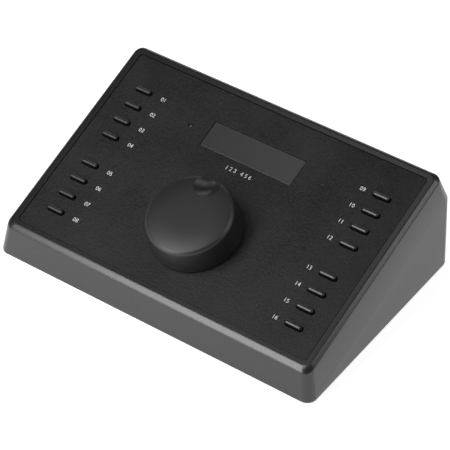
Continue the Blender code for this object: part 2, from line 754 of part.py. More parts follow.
def make_display(window_material, glass_material, frame_material, foam_material, panel):
    """The stack under the window: lens, foam gasket, display glass and the holder on the board."""
    place = Matrix.Translation((0, WINDOW_V, 0))
    half_length = WINDOW_LENGTH / 2
    half_width = WINDOW_WIDTH / 2
    view = rounded_outline(half_length, half_width, WINDOW_CORNER, INNER_CORNER_STEPS)

    bm = bmesh.new()
    lens = rounded_outline(half_length - GAP, half_width - GAP, WINDOW_CORNER, INNER_CORNER_STEPS)
    prism(bm, lens, DECK_TOP + GAP, FASCIA_TOP - WINDOW_SINK)
    add_object("display_window", finish_mesh(bm, "display_window"), window_material, panel, place)

    gasket_high = DECK_UNDER - GAP
    gasket_low = gasket_high - GASKET_THICK
    glass_length = half_length + DISPLAY_MARGIN
    glass_width = half_width + DISPLAY_MARGIN
    outer = rounded_outline(glass_length, glass_width, WINDOW_CORNER, INNER_CORNER_STEPS)
    bm = bmesh.new()
    tube(bm, outer, view, gasket_low, gasket_high)
    add_object("display_gasket", finish_mesh(bm, "display_gasket"), foam_material, panel, place)

    glass_high = gasket_low - GAP
    glass_low = glass_high - DISPLAY_THICK
    bm = bmesh.new()
    prism(bm, outer, glass_low, glass_high)
    add_object("display_glass", finish_mesh(bm, "display_glass"), glass_material, panel, place)

    holder_length = glass_length + HOLDER_MARGIN
    holder_width = glass_width + HOLDER_MARGIN
    outer = rounded_outline(holder_length, holder_width, WINDOW_CORNER, INNER_CORNER_STEPS)
    bm = bmesh.new()
    tube(bm, outer, view, BOARD_TOP + GAP, glass_low - GAP)
    add_object("display_holder", finish_mesh(bm, "display_holder"), frame_material, panel, place)


def make_sensor_lens(material, panel):
    """A clear pin that leads light from the fascia down to the sensor on the board."""
    head_high = DECK_UNDER - GAP
    head_low = head_high - SENSOR_HEAD_THICK
    profile = [
        (0, BOARD_TOP + SENSOR_CHIP_THICK + GAP),
        (SENSOR_RADIUS, BOARD_TOP + SENSOR_CHIP_THICK + GAP),
        (SENSOR_RADIUS, head_low),
        (SENSOR_HEAD_RADIUS, head_low),
        (SENSOR_HEAD_RADIUS, head_high),
        (SENSOR_RADIUS, head_high),
        (SENSOR_RADIUS, FASCIA_TOP - GAP),
        (0, FASCIA_TOP),
    ]
    bm = bmesh.new()
    revolve(bm, profile, SMALL_SIDES)
    place = Matrix.Translation((SENSOR_U, WINDOW_V, 0))
    add_object("sensor_lens", finish_mesh(bm, "sensor_lens", 40), material, panel, place)


# Keys

def key_mesh():
    """A flat topped bar, its retaining flange under the deck, and the stem into the switch."""
    flange_high = DECK_UNDER - GAP
    flange_low = flange_high - KEY_FLANGE_THICK
    round_start = KEY_PROUD - KEY_ROUND
    bar = bar_outline(KEY_LENGTH, KEY_WIDTH)
    flange = bar_outline(KEY_LENGTH, KEY_WIDTH, KEY_FLANGE)
    stem = bar_outline(STEM_LENGTH, STEM_WIDTH)
    layers = [(stem, STEM_END), (stem, flange_low), (flange, flange_low), (flange, flange_high)]
    layers += [(bar, flange_high), (bar, round_start)]
    for step in range(1, KEY_ROUND_STEPS + 1):
        turn = math.pi / 2 * step / KEY_ROUND_STEPS
        shrink = KEY_ROUND * (1 - math.cos(turn))
        height = round_start + KEY_ROUND * math.sin(turn)
        layers.append((bar_outline(KEY_LENGTH, KEY_WIDTH, -shrink), height))
    bm = bmesh.new()
    loft(bm, [[(x, y, height) for x, y in outline] for outline, height in layers])
    return finish_mesh(bm, "key", 50)


def make_keys(material, panel):
    """Eight keys in each column, numbered from the back row to the front row."""
    shared = key_mesh()
    for column, side in (("left", -1), ("right", 1)):
        for number, v in enumerate(reversed(key_rows()), 1):
            place = Matrix.Translation((side * KEY_COLUMN_U, v, 0))
            add_object(f"key_{column}_{number}", shared, material, panel, place)


# Control board

def add_control_parts(bm):
    """Key switches, the push switch, the light sensor and the flat cable's plug."""
    low = BOARD_TOP - WELD
    for u, v in key_places():
        box(bm, (u, v, (low + SWITCH_TOP) / 2), (SWITCH_SIZE, SWITCH_SIZE, SWITCH_TOP - low))
    push = moved(circle_outline(PUSH_SWITCH_RADIUS, SMALL_SIDES), 0, KNOB_V)
    prism(bm, push, low, BOARD_TOP + PUSH_SWITCH_THICK)
    chip_high = BOARD_TOP + SENSOR_CHIP_THICK
    chip_size = (SENSOR_CHIP, SENSOR_CHIP, chip_high - low)
    box(bm, (SENSOR_U, WINDOW_V, (low + chip_high) / 2), chip_size)
    plug_low = BOARD_UNDER - PLUG_THICK
    plug_high = BOARD_UNDER + WELD
    plug_size = (PLUG_WIDTH, PLUG_LENGTH, plug_high - plug_low)
    box(bm, (0, PLUG_V, (plug_low + plug_high) / 2), plug_size)


def make_control_board(material, panel):
    half_v = (CONTROL_BACK_V - CONTROL_FRONT_V) / 2
    bm = bmesh.new()
    outline = rounded_outline(CONTROL_HALF_LENGTH, half_v, BOARD_THICK)
    prism(bm, moved(outline, 0, CONTROL_FRONT_V + half_v), BOARD_UNDER, BOARD_TOP)
    board = add_object("control_board", finish_mesh(bm, "control_board"), material, panel)

    bm = bmesh.new()
    add_control_parts(bm)
    add_cutter("control_parts", bm, board, "UNION")

    bm = bmesh.new()
    for u, v in post_places():
        circle = moved(circle_outline(SCREW_RADIUS + GAP, SCREW_SIDES), u, v)
        prism(bm, circle, BOARD_UNDER - OVERRUN, BOARD_TOP + OVERRUN)
    well_low = STEM_END - KEY_TRAVEL - GAP
    well_high = SWITCH_TOP + OVERRUN
    well_size = (STEM_LENGTH + 2 * GAP, STEM_WIDTH + 2 * GAP, well_high - well_low)
    for u, v in key_places():
        box(bm, (u, v, (well_low + well_high) / 2), well_size)
    add_cutter("control_openings", bm, board)
    return board


# Encoder and knob

def make_encoder_body(material, axis):
    """A square case with a round bushing up through the deck, open below to the board."""
    low = BOARD_TOP + GAP
    roof = low + ENCODER_HEIGHT
    rotor_room = roof - ROTOR_ROOF
    bm = bmesh.new()
    box(bm, (0, 0, (low + roof) / 2), (ENCODER_SIZE, ENCODER_SIZE, ENCODER_HEIGHT))
    body = add_object("encoder_body", finish_mesh(bm, "encoder_body", 30), material, axis)
    bm = bmesh.new()
    prism(bm, circle_outline(BUSHING_RADIUS, SMALL_SIDES), roof - WELD, BUSHING_RISE)
    add_cutter("encoder_bushing", bm, body, "UNION")
    profile = [
        (0, low - OVERRUN),
        (ROTOR_RADIUS + GAP, low - OVERRUN),
        (ROTOR_RADIUS + GAP, rotor_room),
        (SHAFT_RADIUS + GAP, rotor_room),
        (SHAFT_RADIUS + GAP, BUSHING_RISE + OVERRUN),
        (0, BUSHING_RISE + OVERRUN),
    ]
    bm = bmesh.new()
    revolve(bm, profile, SMALL_SIDES)
    add_cutter("encoder_bore", bm, body)
    return rotor_room - GAP


def make_encoder_fixings(material, axis):
    """The washer on the deck and the hexagonal nut over it, both round the bushing."""
    bore = circle_outline(BUSHING_RADIUS + GAP, SMALL_SIDES)
    washer_low = DECK_TOP + GAP
    washer_high = washer_low + WASHER_THICK
    bm = bmesh.new()
    tube(bm, circle_outline(WASHER_RADIUS, SMALL_SIDES), bore, washer_low, washer_high)
    add_object("encoder_washer", finish_mesh(bm, "encoder_washer", 30), material, axis)
    bm = bmesh.new()
    nut_low = washer_high + GAP
    tube(bm, hexagon_outline(NUT_FLATS, SMALL_SIDES), bore, nut_low, nut_low + NUT_THICK)
    add_object("encoder_nut", finish_mesh(bm, "encoder_nut", 25), material, axis)


def make_rotor_and_shaft(rotor_material, shaft_material, axis, rotor_high):
    """The rotor turns in the case. The shaft turns with it and slides through it when pressed."""
    bm = bmesh.new()
    outer = circle_outline(ROTOR_RADIUS, SMALL_SIDES)
    inner = circle_outline(SPIGOT_RADIUS + GAP, SMALL_SIDES)
    tube(bm, outer, inner, rotor_high - ROTOR_THICK, rotor_high)
    add_object("encoder_rotor", finish_mesh(bm, "encoder_rotor", 30), rotor_material, axis)

    shoulder = rotor_high + GAP + KNOB_TRAVEL
    spigot_low = BOARD_TOP + PUSH_SWITCH_THICK + GAP + KNOB_TRAVEL
    shaft_top = KNOB_TOP - SHAFT_SHORT - GAP
    profile = [
        (0, spigot_low),
        (SPIGOT_RADIUS, spigot_low),
        (SPIGOT_RADIUS, shoulder),
        (SHAFT_RADIUS, shoulder),
        (SHAFT_RADIUS, shaft_top),
        (0, shaft_top),
    ]
    bm = bmesh.new()
    revolve(bm, profile, SMALL_SIDES)
    shaft = add_object("encoder_shaft", finish_mesh(bm, "encoder_shaft", 30), shaft_material, axis)
    flat_low = BUSHING_RISE + KNOB_TRAVEL + GAP
    flat_high = shaft_top + OVERRUN
    depth = SHAFT_RADIUS
    bm = bmesh.new()
    centre = (0, SHAFT_FLAT + depth / 2, (flat_low + flat_high) / 2)
    box(bm, centre, (2 * (SHAFT_RADIUS + OVERRUN), depth, flat_high - flat_low))
    add_cutter("shaft_flat", bm, shaft)


def knob_profile():
    """The knob's section: centre boss, hollow, flared side, round top edge and domed top."""
    foot = FASCIA_TOP + KNOB_FLOAT
    inner_roof = KNOB_TOP - KNOB_ROOF
    boss_low = BUSHING_RISE + KNOB_TRAVEL + 2 * GAP
    profile = [
        (0, boss_low),
        (KNOB_BOSS_RADIUS, boss_low),
        (KNOB_BOSS_RADIUS, inner_roof),
        (KNOB_TOP_RADIUS - KNOB_WALL, inner_roof),
        (KNOB_RADIUS - KNOB_WALL, foot),
        (KNOB_RADIUS - KNOB_FOOT_CHAMFER, foot),
        (KNOB_RADIUS, foot + KNOB_FOOT_CHAMFER),
    ]
    dome_radius = KNOB_TOP_RADIUS - KNOB_EDGE_RADIUS
    dome_slope = math.atan(KNOB_CROWN_POWER * KNOB_CROWN / dome_radius)
    flare = (KNOB_RADIUS - KNOB_TOP_RADIUS) / (KNOB_TOP - foot)
    for step in range(KNOB_EDGE_STEPS + 1):
        angle = (math.pi / 2 - dome_slope) * step / KNOB_EDGE_STEPS
        height = KNOB_TOP - KNOB_EDGE_RADIUS * (1 - math.sin(angle))
        radius = KNOB_TOP_RADIUS - KNOB_EDGE_RADIUS * (1 - math.cos(angle))
        profile.append((radius + flare * (KNOB_TOP - height), height))
    rim_radius, rim_height = profile[-1]
    for step in range(KNOB_CROWN_STEPS, -1, -1):
        share = step / (KNOB_CROWN_STEPS + 1)
        height = rim_height + KNOB_CROWN * (1 - share ** KNOB_CROWN_POWER)
        profile.append((rim_radius * share, height))
    return profile


def make_knob(material, axis):
    bm = bmesh.new()
    revolve(bm, knob_profile(), KNOB_SIDES)
    knob = add_object("volume_knob", finish_mesh(bm, "volume_knob", 35), material, axis)

    bm = bmesh.new()
    bore = flat_circle_outline(SHAFT_RADIUS + GAP, SHAFT_FLAT + GAP, SMALL_SIDES)
    prism(bm, bore, BUSHING_RISE - OVERRUN, KNOB_TOP - SHAFT_SHORT)
    add_cutter("knob_bore", bm, knob)

    bm = bmesh.new()
    ball = (DIMPLE_RADIUS ** 2 + DIMPLE_DEPTH ** 2) / (2 * DIMPLE_DEPTH)
    centre = Matrix.Translation((0, DIMPLE_OFFSET, KNOB_TOP + ball - DIMPLE_DEPTH))
    bmesh.ops.create_uvsphere(
        bm, u_segments=ROUND_SIDES, v_segments=ROUND_SIDES, radius=ball, matrix=centre
    )
    add_cutter("finger_dimple", bm, knob)


# Base plate, feet and screws

def base_outline():
    """The plate fills the housing's mouth, inside the walls at the plate's upper face."""
    share = lean_share(top_height(-BODY_DEPTH / 2) - BASE_HIGH)
    inset = WALL + GAP
    half_x = BODY_WIDTH / 2 - SIDE_INSET * share - inset
    front = -BODY_DEPTH / 2 + FRONT_INSET * share + inset
    back = BODY_DEPTH / 2 - inset
    outline = rounded_outline(half_x, (back - front) / 2, CORNER_RADIUS - WALL)
    return moved(outline, 0, (back + front) / 2)


def make_base_plate(material):
    """A steel plate with pressed-in standoffs that carry the main board and its screws."""
    bm = bmesh.new()
    prism(bm, base_outline(), BASE_LOW, BASE_HIGH)
    plate = add_object("base_plate", finish_mesh(bm, "base_plate"), material)

    bm = bmesh.new()
    profile = screw_post(STANDOFF_RADIUS, BASE_HIGH - WELD, MAIN_LOW - GAP, BOARD_THICK, 1)
    for x, y in standoff_places():
        revolve(bm, profile, SCREW_SIDES, Matrix.Translation((x, y, 0)))
    add_cutter("board_standoffs", bm, plate, "UNION")

    bm = bmesh.new()
    turn = Matrix.Rotation(math.pi, 4, "X")
    for x, y in boss_places():
        profile = flat_screw_hole_profile(BASE_THICK + OVERRUN)
        revolve(bm, profile, SCREW_SIDES, Matrix.Translation((x, y, BASE_LOW)) @ turn)
    add_cutter("base_holes", bm, plate)
    return plate


def make_feet(material):
    foot_high = BASE_LOW - GAP
    profile = [
        (0, 0),
        (FOOT_RADIUS - FOOT_ROUND, 0),
        (FOOT_RADIUS, FOOT_ROUND),
        (FOOT_RADIUS, foot_high),
        (0, foot_high),
    ]
    bm = bmesh.new()
    revolve(bm, profile, NUT_SIDES)
    shared = finish_mesh(bm, "foot", 50)
    for row, y in (("front", -FOOT_Y), ("back", FOOT_Y)):
        for side, x in (("left", -FOOT_X), ("right", FOOT_X)):
            place = Matrix.Translation((x, y, 0))
            add_object(f"foot_{row}_{side}", shared, material, matrix=place)


def make_base_screws(material):
    bm = bmesh.new()
    revolve(bm, flat_screw_profile(SCREW_LENGTH), SCREW_SIDES)
    shared = finish_mesh(bm, "base_screw", 40)
    turn = Matrix.Rotation(math.pi, 4, "X")
    for number, (x, y) in enumerate(boss_places(), 1):
        place = Matrix.Translation((x, y, BASE_LOW)) @ turn
        add_object(f"base_screw_{number}", shared, material, matrix=place)


# Main board

def add_main_parts(bm):
    """A processor, two converters, a row of capacitors at each side and the cable's plug."""
    low = MAIN_HIGH - WELD
    chips = [(0, CHIP_SIZE), (-CONVERTER_X, CONVERTER_SIZE), (CONVERTER_X, CONVERTER_SIZE)]
    chip_high = MAIN_HIGH + CHIP_THICK
    for x, size in chips:
        box(bm, (x, CHIP_Y, (low + chip_high) / 2), (size, size, chip_high - low))
    for side in (-1, 1):
        for number in range(CAPACITOR_COUNT):
            x = side * (CAPACITOR_X + number * CAPACITOR_PITCH)
            circle = moved(circle_outline(CAPACITOR_RADIUS, SCREW_SIDES), x, CHIP_Y)
            prism(bm, circle, low, MAIN_HIGH + CAPACITOR_HEIGHT)
    plug_high = MAIN_HIGH + PLUG_THICK
    plug_size = (PLUG_WIDTH, PLUG_LENGTH, plug_high - low)
    box(bm, (0, PLUG_Y, (low + plug_high) / 2), plug_size)


def make_main_board(material):
    half_y = (MAIN_BACK_Y - MAIN_FRONT_Y) / 2
    bm = bmesh.new()
    outline = rounded_outline(MAIN_HALF_LENGTH, half_y, BOARD_THICK)
    prism(bm, moved(outline, 0, MAIN_FRONT_Y + half_y), MAIN_LOW, MAIN_HIGH)
    board = add_object("main_board", finish_mesh(bm, "main_board"), material)
    bm = bmesh.new()
    add_main_parts(bm)
    add_cutter("main_parts", bm, board, "UNION")
    bm = bmesh.new()
    for x, y in standoff_places():
        circle = moved(circle_outline(SCREW_RADIUS + GAP, SCREW_SIDES), x, y)
        prism(bm, circle, MAIN_LOW - OVERRUN, MAIN_HIGH + OVERRUN)
    add_cutter("main_holes", bm, board)
    return board


# Rear panel and sockets

def make_rear_panel(material):
    """The panel behind the back opening, with the screws that hold the round sockets."""
    low = OPENING_LOW - REAR_LAP
    high = OPENING_HIGH + REAR_LAP
    middle = (low + high) / 2
    depth = REAR_THICK + OVERRUN
    bm = bmesh.new()
    outline = rounded_outline(OPENING_HALF_LENGTH + REAR_LAP, (high - low) / 2, OPENING_CORNER)
    place = facing_back(0, REAR_INNER_Y, middle)
    prism(bm, outline, 0, REAR_THICK, place)
    panel = add_object("rear_panel", finish_mesh(bm, "rear_panel"), material)

    bm = bmesh.new()
    for x in xlr_places():
        circle = circle_outline(XLR_BODY_RADIUS + GAP, ROUND_SIDES)
        prism(bm, circle, -OVERRUN, depth, facing_back(x, REAR_INNER_Y, XLR_Z))
    for x in jack_places():
        circle = circle_outline(JACK_BUSHING_RADIUS + GAP, NUT_SIDES)
        prism(bm, circle, -OVERRUN, depth, facing_back(x, REAR_INNER_Y, JACK_Z))
    windows = [
        (NETWORK_X, NETWORK_WIDTH, NETWORK_HEIGHT, 2 * GAP),
        (USB_X, USB_WIDTH, USB_HEIGHT, USB_HEIGHT / 2),
        (POWER_X, POWER_WIDTH, POWER_HEIGHT, 2 * GAP),
    ]
    for x, width, height, radius in windows:
        outline = rounded_outline(width / 2 + GAP, height / 2 + GAP, radius)
        place = facing_back(x, REAR_INNER_Y, SOCKET_FLOOR + height / 2)
        prism(bm, outline, -OVERRUN, depth, place)
    add_cutter("rear_panel_openings", bm, panel)

    bm = bmesh.new()
    reach = XLR_FLANGE_THICK + GAP + REAR_THICK / 2
    for x in xlr_places():
        for sign in (-1, 1):
            head_y = FLANGE_SEAT_Y + XLR_FLANGE_THICK
            place = facing_back(x + sign * XLR_SCREW_X, head_y, XLR_Z + sign * XLR_SCREW_Z)
            revolve(bm, flat_screw_profile(reach), SCREW_SIDES, place)
    add_cutter("socket_screws", bm, panel, "UNION")
    return panel


def make_xlr(name, x, material):
    """A three pole socket: a flange on the panel, a barrel, a ring groove and contact holes."""
    front = XLR_FLANGE_THICK + OVERRUN
    bm = bmesh.new()
    flange = rounded_outline(XLR_FLANGE_WIDTH / 2, XLR_FLANGE_HEIGHT / 2, XLR_FLANGE_CORNER)
    prism(bm, flange, 0, XLR_FLANGE_THICK)
    place = facing_back(x, FLANGE_SEAT_Y, XLR_Z)
    socket = add_object(name, finish_mesh(bm, name, 30), material, matrix=place)

    bm = bmesh.new()
    prism(bm, circle_outline(XLR_BODY_RADIUS, ROUND_SIDES), -XLR_BODY_LENGTH, WELD)
    add_cutter(name + "_barrel", bm, socket, "UNION")

    bm = bmesh.new()
    outer = circle_outline(XLR_GROOVE_OUTER, ROUND_SIDES)
    inner = circle_outline(XLR_GROOVE_INNER, ROUND_SIDES)
    tube(bm, outer, inner, XLR_FLANGE_THICK - XLR_GROOVE_DEPTH, front)
    for number in range(XLR_CONTACTS):
        angle = math.tau * number / XLR_CONTACTS - math.pi / 2
        hole = circle_outline(XLR_CONTACT_RADIUS, SCREW_SIDES)
        hole = moved(hole, XLR_CONTACT_CIRCLE * math.cos(angle), XLR_CONTACT_CIRCLE * math.sin(angle))
        prism(bm, hole, XLR_FLANGE_THICK - XLR_CONTACT_DEPTH, front)
    for sign in (-1, 1):
        profile = flat_screw_hole_profile(XLR_FLANGE_THICK + OVERRUN)
        spot = Matrix.Translation((-sign * XLR_SCREW_X, sign * XLR_SCREW_Z, XLR_FLANGE_THICK))
        revolve(bm, profile, SCREW_SIDES, spot)
    add_cutter(name + "_holes", bm, socket)
    return socket


def make_jack(name, x, material):
    """A phone jack socket: a square body behind the panel and a round bushing through it."""
    behind = GAP + REAR_THICK
    bm = bmesh.new()
    centre = (0, 0, -behind - JACK_BODY_LENGTH / 2)
    box(bm, centre, (JACK_BODY_WIDTH, JACK_BODY_WIDTH, JACK_BODY_LENGTH))
    place = facing_back(x, REAR_FACE_Y, JACK_Z)
    jack = add_object(name, finish_mesh(bm, name, 30), material, matrix=place)
    bm = bmesh.new()
    bushing = circle_outline(JACK_BUSHING_RADIUS, NUT_SIDES)
    prism(bm, bushing, -behind - WELD, JACK_NUT_THICK + GAP)
    add_cutter(name + "_bushing", bm, jack, "UNION")
    bm = bmesh.new()
    bore = circle_outline(JACK_BORE_RADIUS, SMALL_SIDES)
    prism(bm, bore, -JACK_BORE_DEPTH, JACK_NUT_THICK + OVERRUN)
    add_cutter(name + "_bore", bm, jack)
    return jack


def make_jack_nuts(material):
    outer = circle_outline(JACK_NUT_RADIUS, NUT_SIDES)
    inner = circle_outline(JACK_BUSHING_RADIUS + GAP, NUT_SIDES)
    bm = bmesh.new()
    tube(bm, outer, inner, GAP, GAP + JACK_NUT_THICK)
    shared = finish_mesh(bm, "jack_nut", 30)
    for number, x in enumerate(jack_places(), 1):
        place = facing_back(x, REAR_FACE_Y, JACK_Z)
        add_object(f"jack_nut_{number}", shared, material, matrix=place)


def make_network_port(material):
    """A network socket whose mouth has the latch recess along one side."""
    bm = bmesh.new()
    box(bm, (0, 0, -NETWORK_LENGTH / 2), (NETWORK_WIDTH, NETWORK_HEIGHT, NETWORK_LENGTH))
    place = facing_back(NETWORK_X, REAR_FACE_Y, SOCKET_FLOOR + NETWORK_HEIGHT / 2)
    port = add_object("network_port", finish_mesh(bm, "network_port"), material, matrix=place)
    half_width = NETWORK_MOUTH_WIDTH / 2
    half_height = NETWORK_MOUTH_HEIGHT / 2
    half_tab = NETWORK_TAB_WIDTH / 2
    outline = [
        (-half_width, -half_height),
        (-half_tab, -half_height),
        (-half_tab, -half_height - NETWORK_TAB_HEIGHT),
        (half_tab, -half_height - NETWORK_TAB_HEIGHT),
        (half_tab, -half_height),
        (half_width, -half_height),
        (half_width, half_height),
        (-half_width, half_height),
    ]
    bm = bmesh.new()
    prism(bm, outline, -NETWORK_MOUTH_DEPTH, OVERRUN)
    add_cutter("network_port_mouth", bm, port)
    return port


def make_usb_port(material):
    """A reversible data socket: a thin oval shell round a flat tongue."""
    bm = bmesh.new()
    prism(bm, bar_outline(USB_WIDTH, USB_HEIGHT), -USB_LENGTH, 0)
    place = facing_back(USB_X, REAR_FACE_Y, SOCKET_FLOOR + USB_HEIGHT / 2)
    port = add_object("usb_port", finish_mesh(bm, "usb_port", 40), material, matrix=place)
    bm = bmesh.new()
    prism(bm, bar_outline(USB_WIDTH, USB_HEIGHT, -USB_SHELL), -USB_DEPTH, OVERRUN)
    add_cutter("usb_port_mouth", bm, port)
    bm = bmesh.new()
    low = -USB_DEPTH - WELD
    centre = (0, 0, (low - USB_SHELL) / 2)
    box(bm, centre, (USB_TONGUE_WIDTH, USB_TONGUE_THICK, -USB_SHELL - low))
    add_cutter("usb_port_tongue", bm, port, "UNION")
    return port


def make_power_inlet(material):
    """A barrel inlet for direct current: a round bore with a centre pin."""
    bm = bmesh.new()
    box(bm, (0, 0, -POWER_LENGTH / 2), (POWER_WIDTH, POWER_HEIGHT, POWER_LENGTH))
    place = facing_back(POWER_X, REAR_FACE_Y, SOCKET_FLOOR + POWER_HEIGHT / 2)
    inlet = add_object("power_inlet", finish_mesh(bm, "power_inlet"), material, matrix=place)
    bm = bmesh.new()
    outer = circle_outline(POWER_BORE_RADIUS, SMALL_SIDES)
    inner = circle_outline(POWER_PIN_RADIUS, SMALL_SIDES)
    tube(bm, outer, inner, -POWER_DEPTH, OVERRUN)
    add_cutter("power_inlet_bore", bm, inlet)
    return inlet


# Flat cable between the boards

def curve_point(handles, share):
    """A point and a direction on the cubic curve through four handles."""
    rest = 1 - share
    weights = (rest ** 3, 3 * share * rest ** 2, 3 * share ** 2 * rest, share ** 3)
    point = sum((handle * weight for handle, weight in zip(handles, weights)), Vector())
    legs = [after - before for before, after in zip(handles, handles[1:])]
    weights = (rest ** 2, 2 * share * rest, share ** 2)
    along = sum((leg * weight for leg, weight in zip(legs, weights)), Vector())
    return point, along.normalized()


def make_ribbon(material):
    """A flat cable that bows forward from the control board's plug to the main board's plug."""
    upper = PANEL @ Matrix.Translation((0, PLUG_V, BOARD_UNDER - PLUG_THICK / 2))
    lower = Matrix.Translation((0, PLUG_Y, MAIN_HIGH + PLUG_THICK / 2))
    mouth = Vector((0, -PLUG_LENGTH / 2 - GAP, 0))
    bow = Vector((0, -PLUG_LENGTH / 2 - GAP - RIBBON_BOW, 0))
    handles = [upper @ mouth, upper @ bow, lower @ bow, lower @ mouth]
    half = Vector((RIBBON_WIDTH / 2, 0, 0))
    rings = []
    for step in range(RIBBON_STEPS + 1):
        point, along = curve_point(handles, step / RIBBON_STEPS)
        across = Vector((0, -along.z, along.y)) * (RIBBON_THICK / 2)
        lower_side = [point - half - across, point + half - across]
        rings.append(lower_side + [point + half + across, point - half + across])
    bm = bmesh.new()
    loft(bm, rings)
    add_object("ribbon_cable", finish_mesh(bm, "ribbon_cable", 60), material)


# Assembly

def make_front(panel, axis):
    """Everything under and on the sloping top."""
    smoked = make_material("smoked_window", (0.030, 0.030, 0.032), 0.12)
    glass = make_material("display_cell", (0.010, 0.010, 0.012), 0.08)
    frame_plastic = make_material("frame_plastic", (0.055, 0.055, 0.060), 0.50)
    foam = make_material("gasket_foam", (0.015, 0.015, 0.015), 0.95)
    nickel = make_material("nickel_plate", (0.620, 0.600, 0.560), 0.28, 1.0)
    make_fascia(make_material("textured_black_coat", (0.024, 0.024, 0.026), 0.60), panel)
    make_display(smoked, glass, frame_plastic, foam, panel)
    make_sensor_lens(smoked, panel)
    make_keys(make_material("key_plastic", (0.016, 0.016, 0.018), 0.35), panel)
    make_control_board(make_material("control_laminate", (0.010, 0.090, 0.040), 0.45), panel)
    rotor_high = make_encoder_body(nickel, axis)
    make_encoder_fixings(nickel, axis)
    make_rotor_and_shaft(frame_plastic, nickel, axis, rotor_high)
    make_knob(make_material("knob_coat", (0.020, 0.020, 0.022), 0.38), axis)


def make_base():
    """The base plate, what stands under it and what lies on it."""
    make_base_plate(make_material("base_coat", (0.028, 0.028, 0.030), 0.50))
    make_feet(make_material("foot_rubber", (0.018, 0.018, 0.018), 0.85))
    make_base_screws(make_material("blackened_steel", (0.050, 0.050, 0.055), 0.40, 0.8))
    make_main_board(make_material("main_laminate", (0.010, 0.090, 0.040), 0.45))
    make_ribbon(make_material("ribbon_film", (0.500, 0.500, 0.480), 0.45))


def make_back():
    """The rear panel and every socket in it."""
    plastic = make_material("socket_plastic", (0.022, 0.022, 0.024), 0.45)
    zinc = make_material("zinc_steel", (0.560, 0.560, 0.580), 0.35, 1.0)
    make_rear_panel(make_material("rear_panel_coat", (0.026, 0.026, 0.028), 0.55))
    names = ("digital_input", "analog_input_left", "analog_input_right")
    for name, x in zip(names, xlr_places()):
        make_xlr(name, x, plastic)
    names = ("line_output_left", "line_output_right", "headphone_jack")
    for name, x in zip(names, jack_places()):
        make_jack(name, x, plastic)
    make_jack_nuts(zinc)
    make_network_port(zinc)
    make_usb_port(zinc)
    make_power_inlet(plastic)


def main():
    for obj in list(bpy.data.objects):
        bpy.data.objects.remove(obj, do_unlink=True)
    panel = add_empty("panel_frame", PANEL)
    axis = add_empty("knob_axis", Matrix.Translation((0, KNOB_V, 0)), panel)
    make_housing(make_material("satin_black_coat", (0.030, 0.030, 0.032), 0.42))
    make_front(panel, axis)
    make_base()
    make_back()


main()
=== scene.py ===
# Studio monitor controller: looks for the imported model.
# Metres, +Z up, X to the right, Y to the back. The dictionaries of the pieces hold millimetres and degrees,
# and the camera, the floor and the lamps are placed in metres.

import math

import bmesh
import bpy
from mathutils import Matrix, Vector


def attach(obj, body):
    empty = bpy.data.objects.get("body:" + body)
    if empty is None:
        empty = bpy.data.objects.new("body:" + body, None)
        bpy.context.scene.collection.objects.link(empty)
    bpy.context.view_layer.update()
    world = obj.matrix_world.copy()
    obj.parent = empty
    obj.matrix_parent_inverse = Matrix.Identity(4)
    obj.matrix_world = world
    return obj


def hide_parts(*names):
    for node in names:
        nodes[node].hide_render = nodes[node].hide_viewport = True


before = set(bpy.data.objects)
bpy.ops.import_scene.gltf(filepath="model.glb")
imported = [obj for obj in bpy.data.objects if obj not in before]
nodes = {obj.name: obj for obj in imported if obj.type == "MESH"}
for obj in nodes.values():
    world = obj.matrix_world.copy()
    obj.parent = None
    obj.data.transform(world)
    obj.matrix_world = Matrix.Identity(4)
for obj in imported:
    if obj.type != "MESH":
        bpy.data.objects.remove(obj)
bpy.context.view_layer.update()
scene = bpy.context.scene
mm = 0.001
toMetres = Matrix.Diagonal((mm, mm, mm, 1))
print("frame loaded:", len(nodes), "nodes")


# Camera at the angle of the photograph

cameraPlace = {
    "right": (0.80593, 0.591039, -0.033916),
    "up": (-0.378804, 0.558861, 0.737687),
    "back": (0.454956, -0.581676, 0.674291),
    "at": (0.54789, -0.69716, 0.83176),
    "lens": 185.13,
    "sensor": 36.0,
}


def makeCamera(place):
    data = bpy.data.cameras.new("camera")
    data.lens = place["lens"]
    data.sensor_width = place["sensor"]
    data.clip_start = 0.01
    camera = bpy.data.objects.new("camera", data)
    scene.collection.objects.link(camera)
    columns = [Vector(place[name]) for name in ("right", "up", "back")]
    camera.matrix_world = Matrix.Translation(place["at"]) @ Matrix(columns).transposed().to_4x4()
    scene.camera = camera


makeCamera(cameraPlace)


# Nodes, colours and meshes

def addNode(tree, kind, inputs=None, **settings):
    node = tree.nodes.new(kind)
    for name, value in settings.items():
        setattr(node, name, value)
    for key, value in (inputs or {}).items():
        if isinstance(value, bpy.types.NodeSocket):
            tree.links.new(value, node.inputs[key])
        else:
            node.inputs[key].default_value = value
    return node


def fromHex(text):
    # sRGB hex to linear, opaque
    channels = [int(text[start:start + 2], 16) / 255 for start in (0, 2, 4)]
    linear = [c / 12.92 if c <= 0.04045 else ((c + 0.055) / 1.055) ** 2.4 for c in channels]
    return (*linear, 1.0)


def dress(mesh, material):
    mesh.materials.clear()
    mesh.materials.append(material)


def newObject(name, mesh, material=None):
    piece = bpy.data.objects.new(name, mesh)
    scene.collection.objects.link(piece)
    if material:
        dress(mesh, material)
    return piece


def meshFrom(bm, name):
    bmesh.ops.recalc_face_normals(bm, faces=bm.faces)
    mesh = bpy.data.meshes.new(name)
    bm.to_mesh(mesh)
    bm.free()
    return mesh


def bake(piece):
    # the evaluated shape becomes the piece's own plain mesh
    bpy.context.view_layer.update()
    graph = bpy.context.evaluated_depsgraph_get()
    mesh = bpy.data.meshes.new_from_object(piece.evaluated_get(graph))
    piece.modifiers.clear()
    if piece.type == "MESH":
        piece.data = mesh
        return piece
    name = piece.name
    bpy.data.objects.remove(piece)
    return newObject(name, mesh)


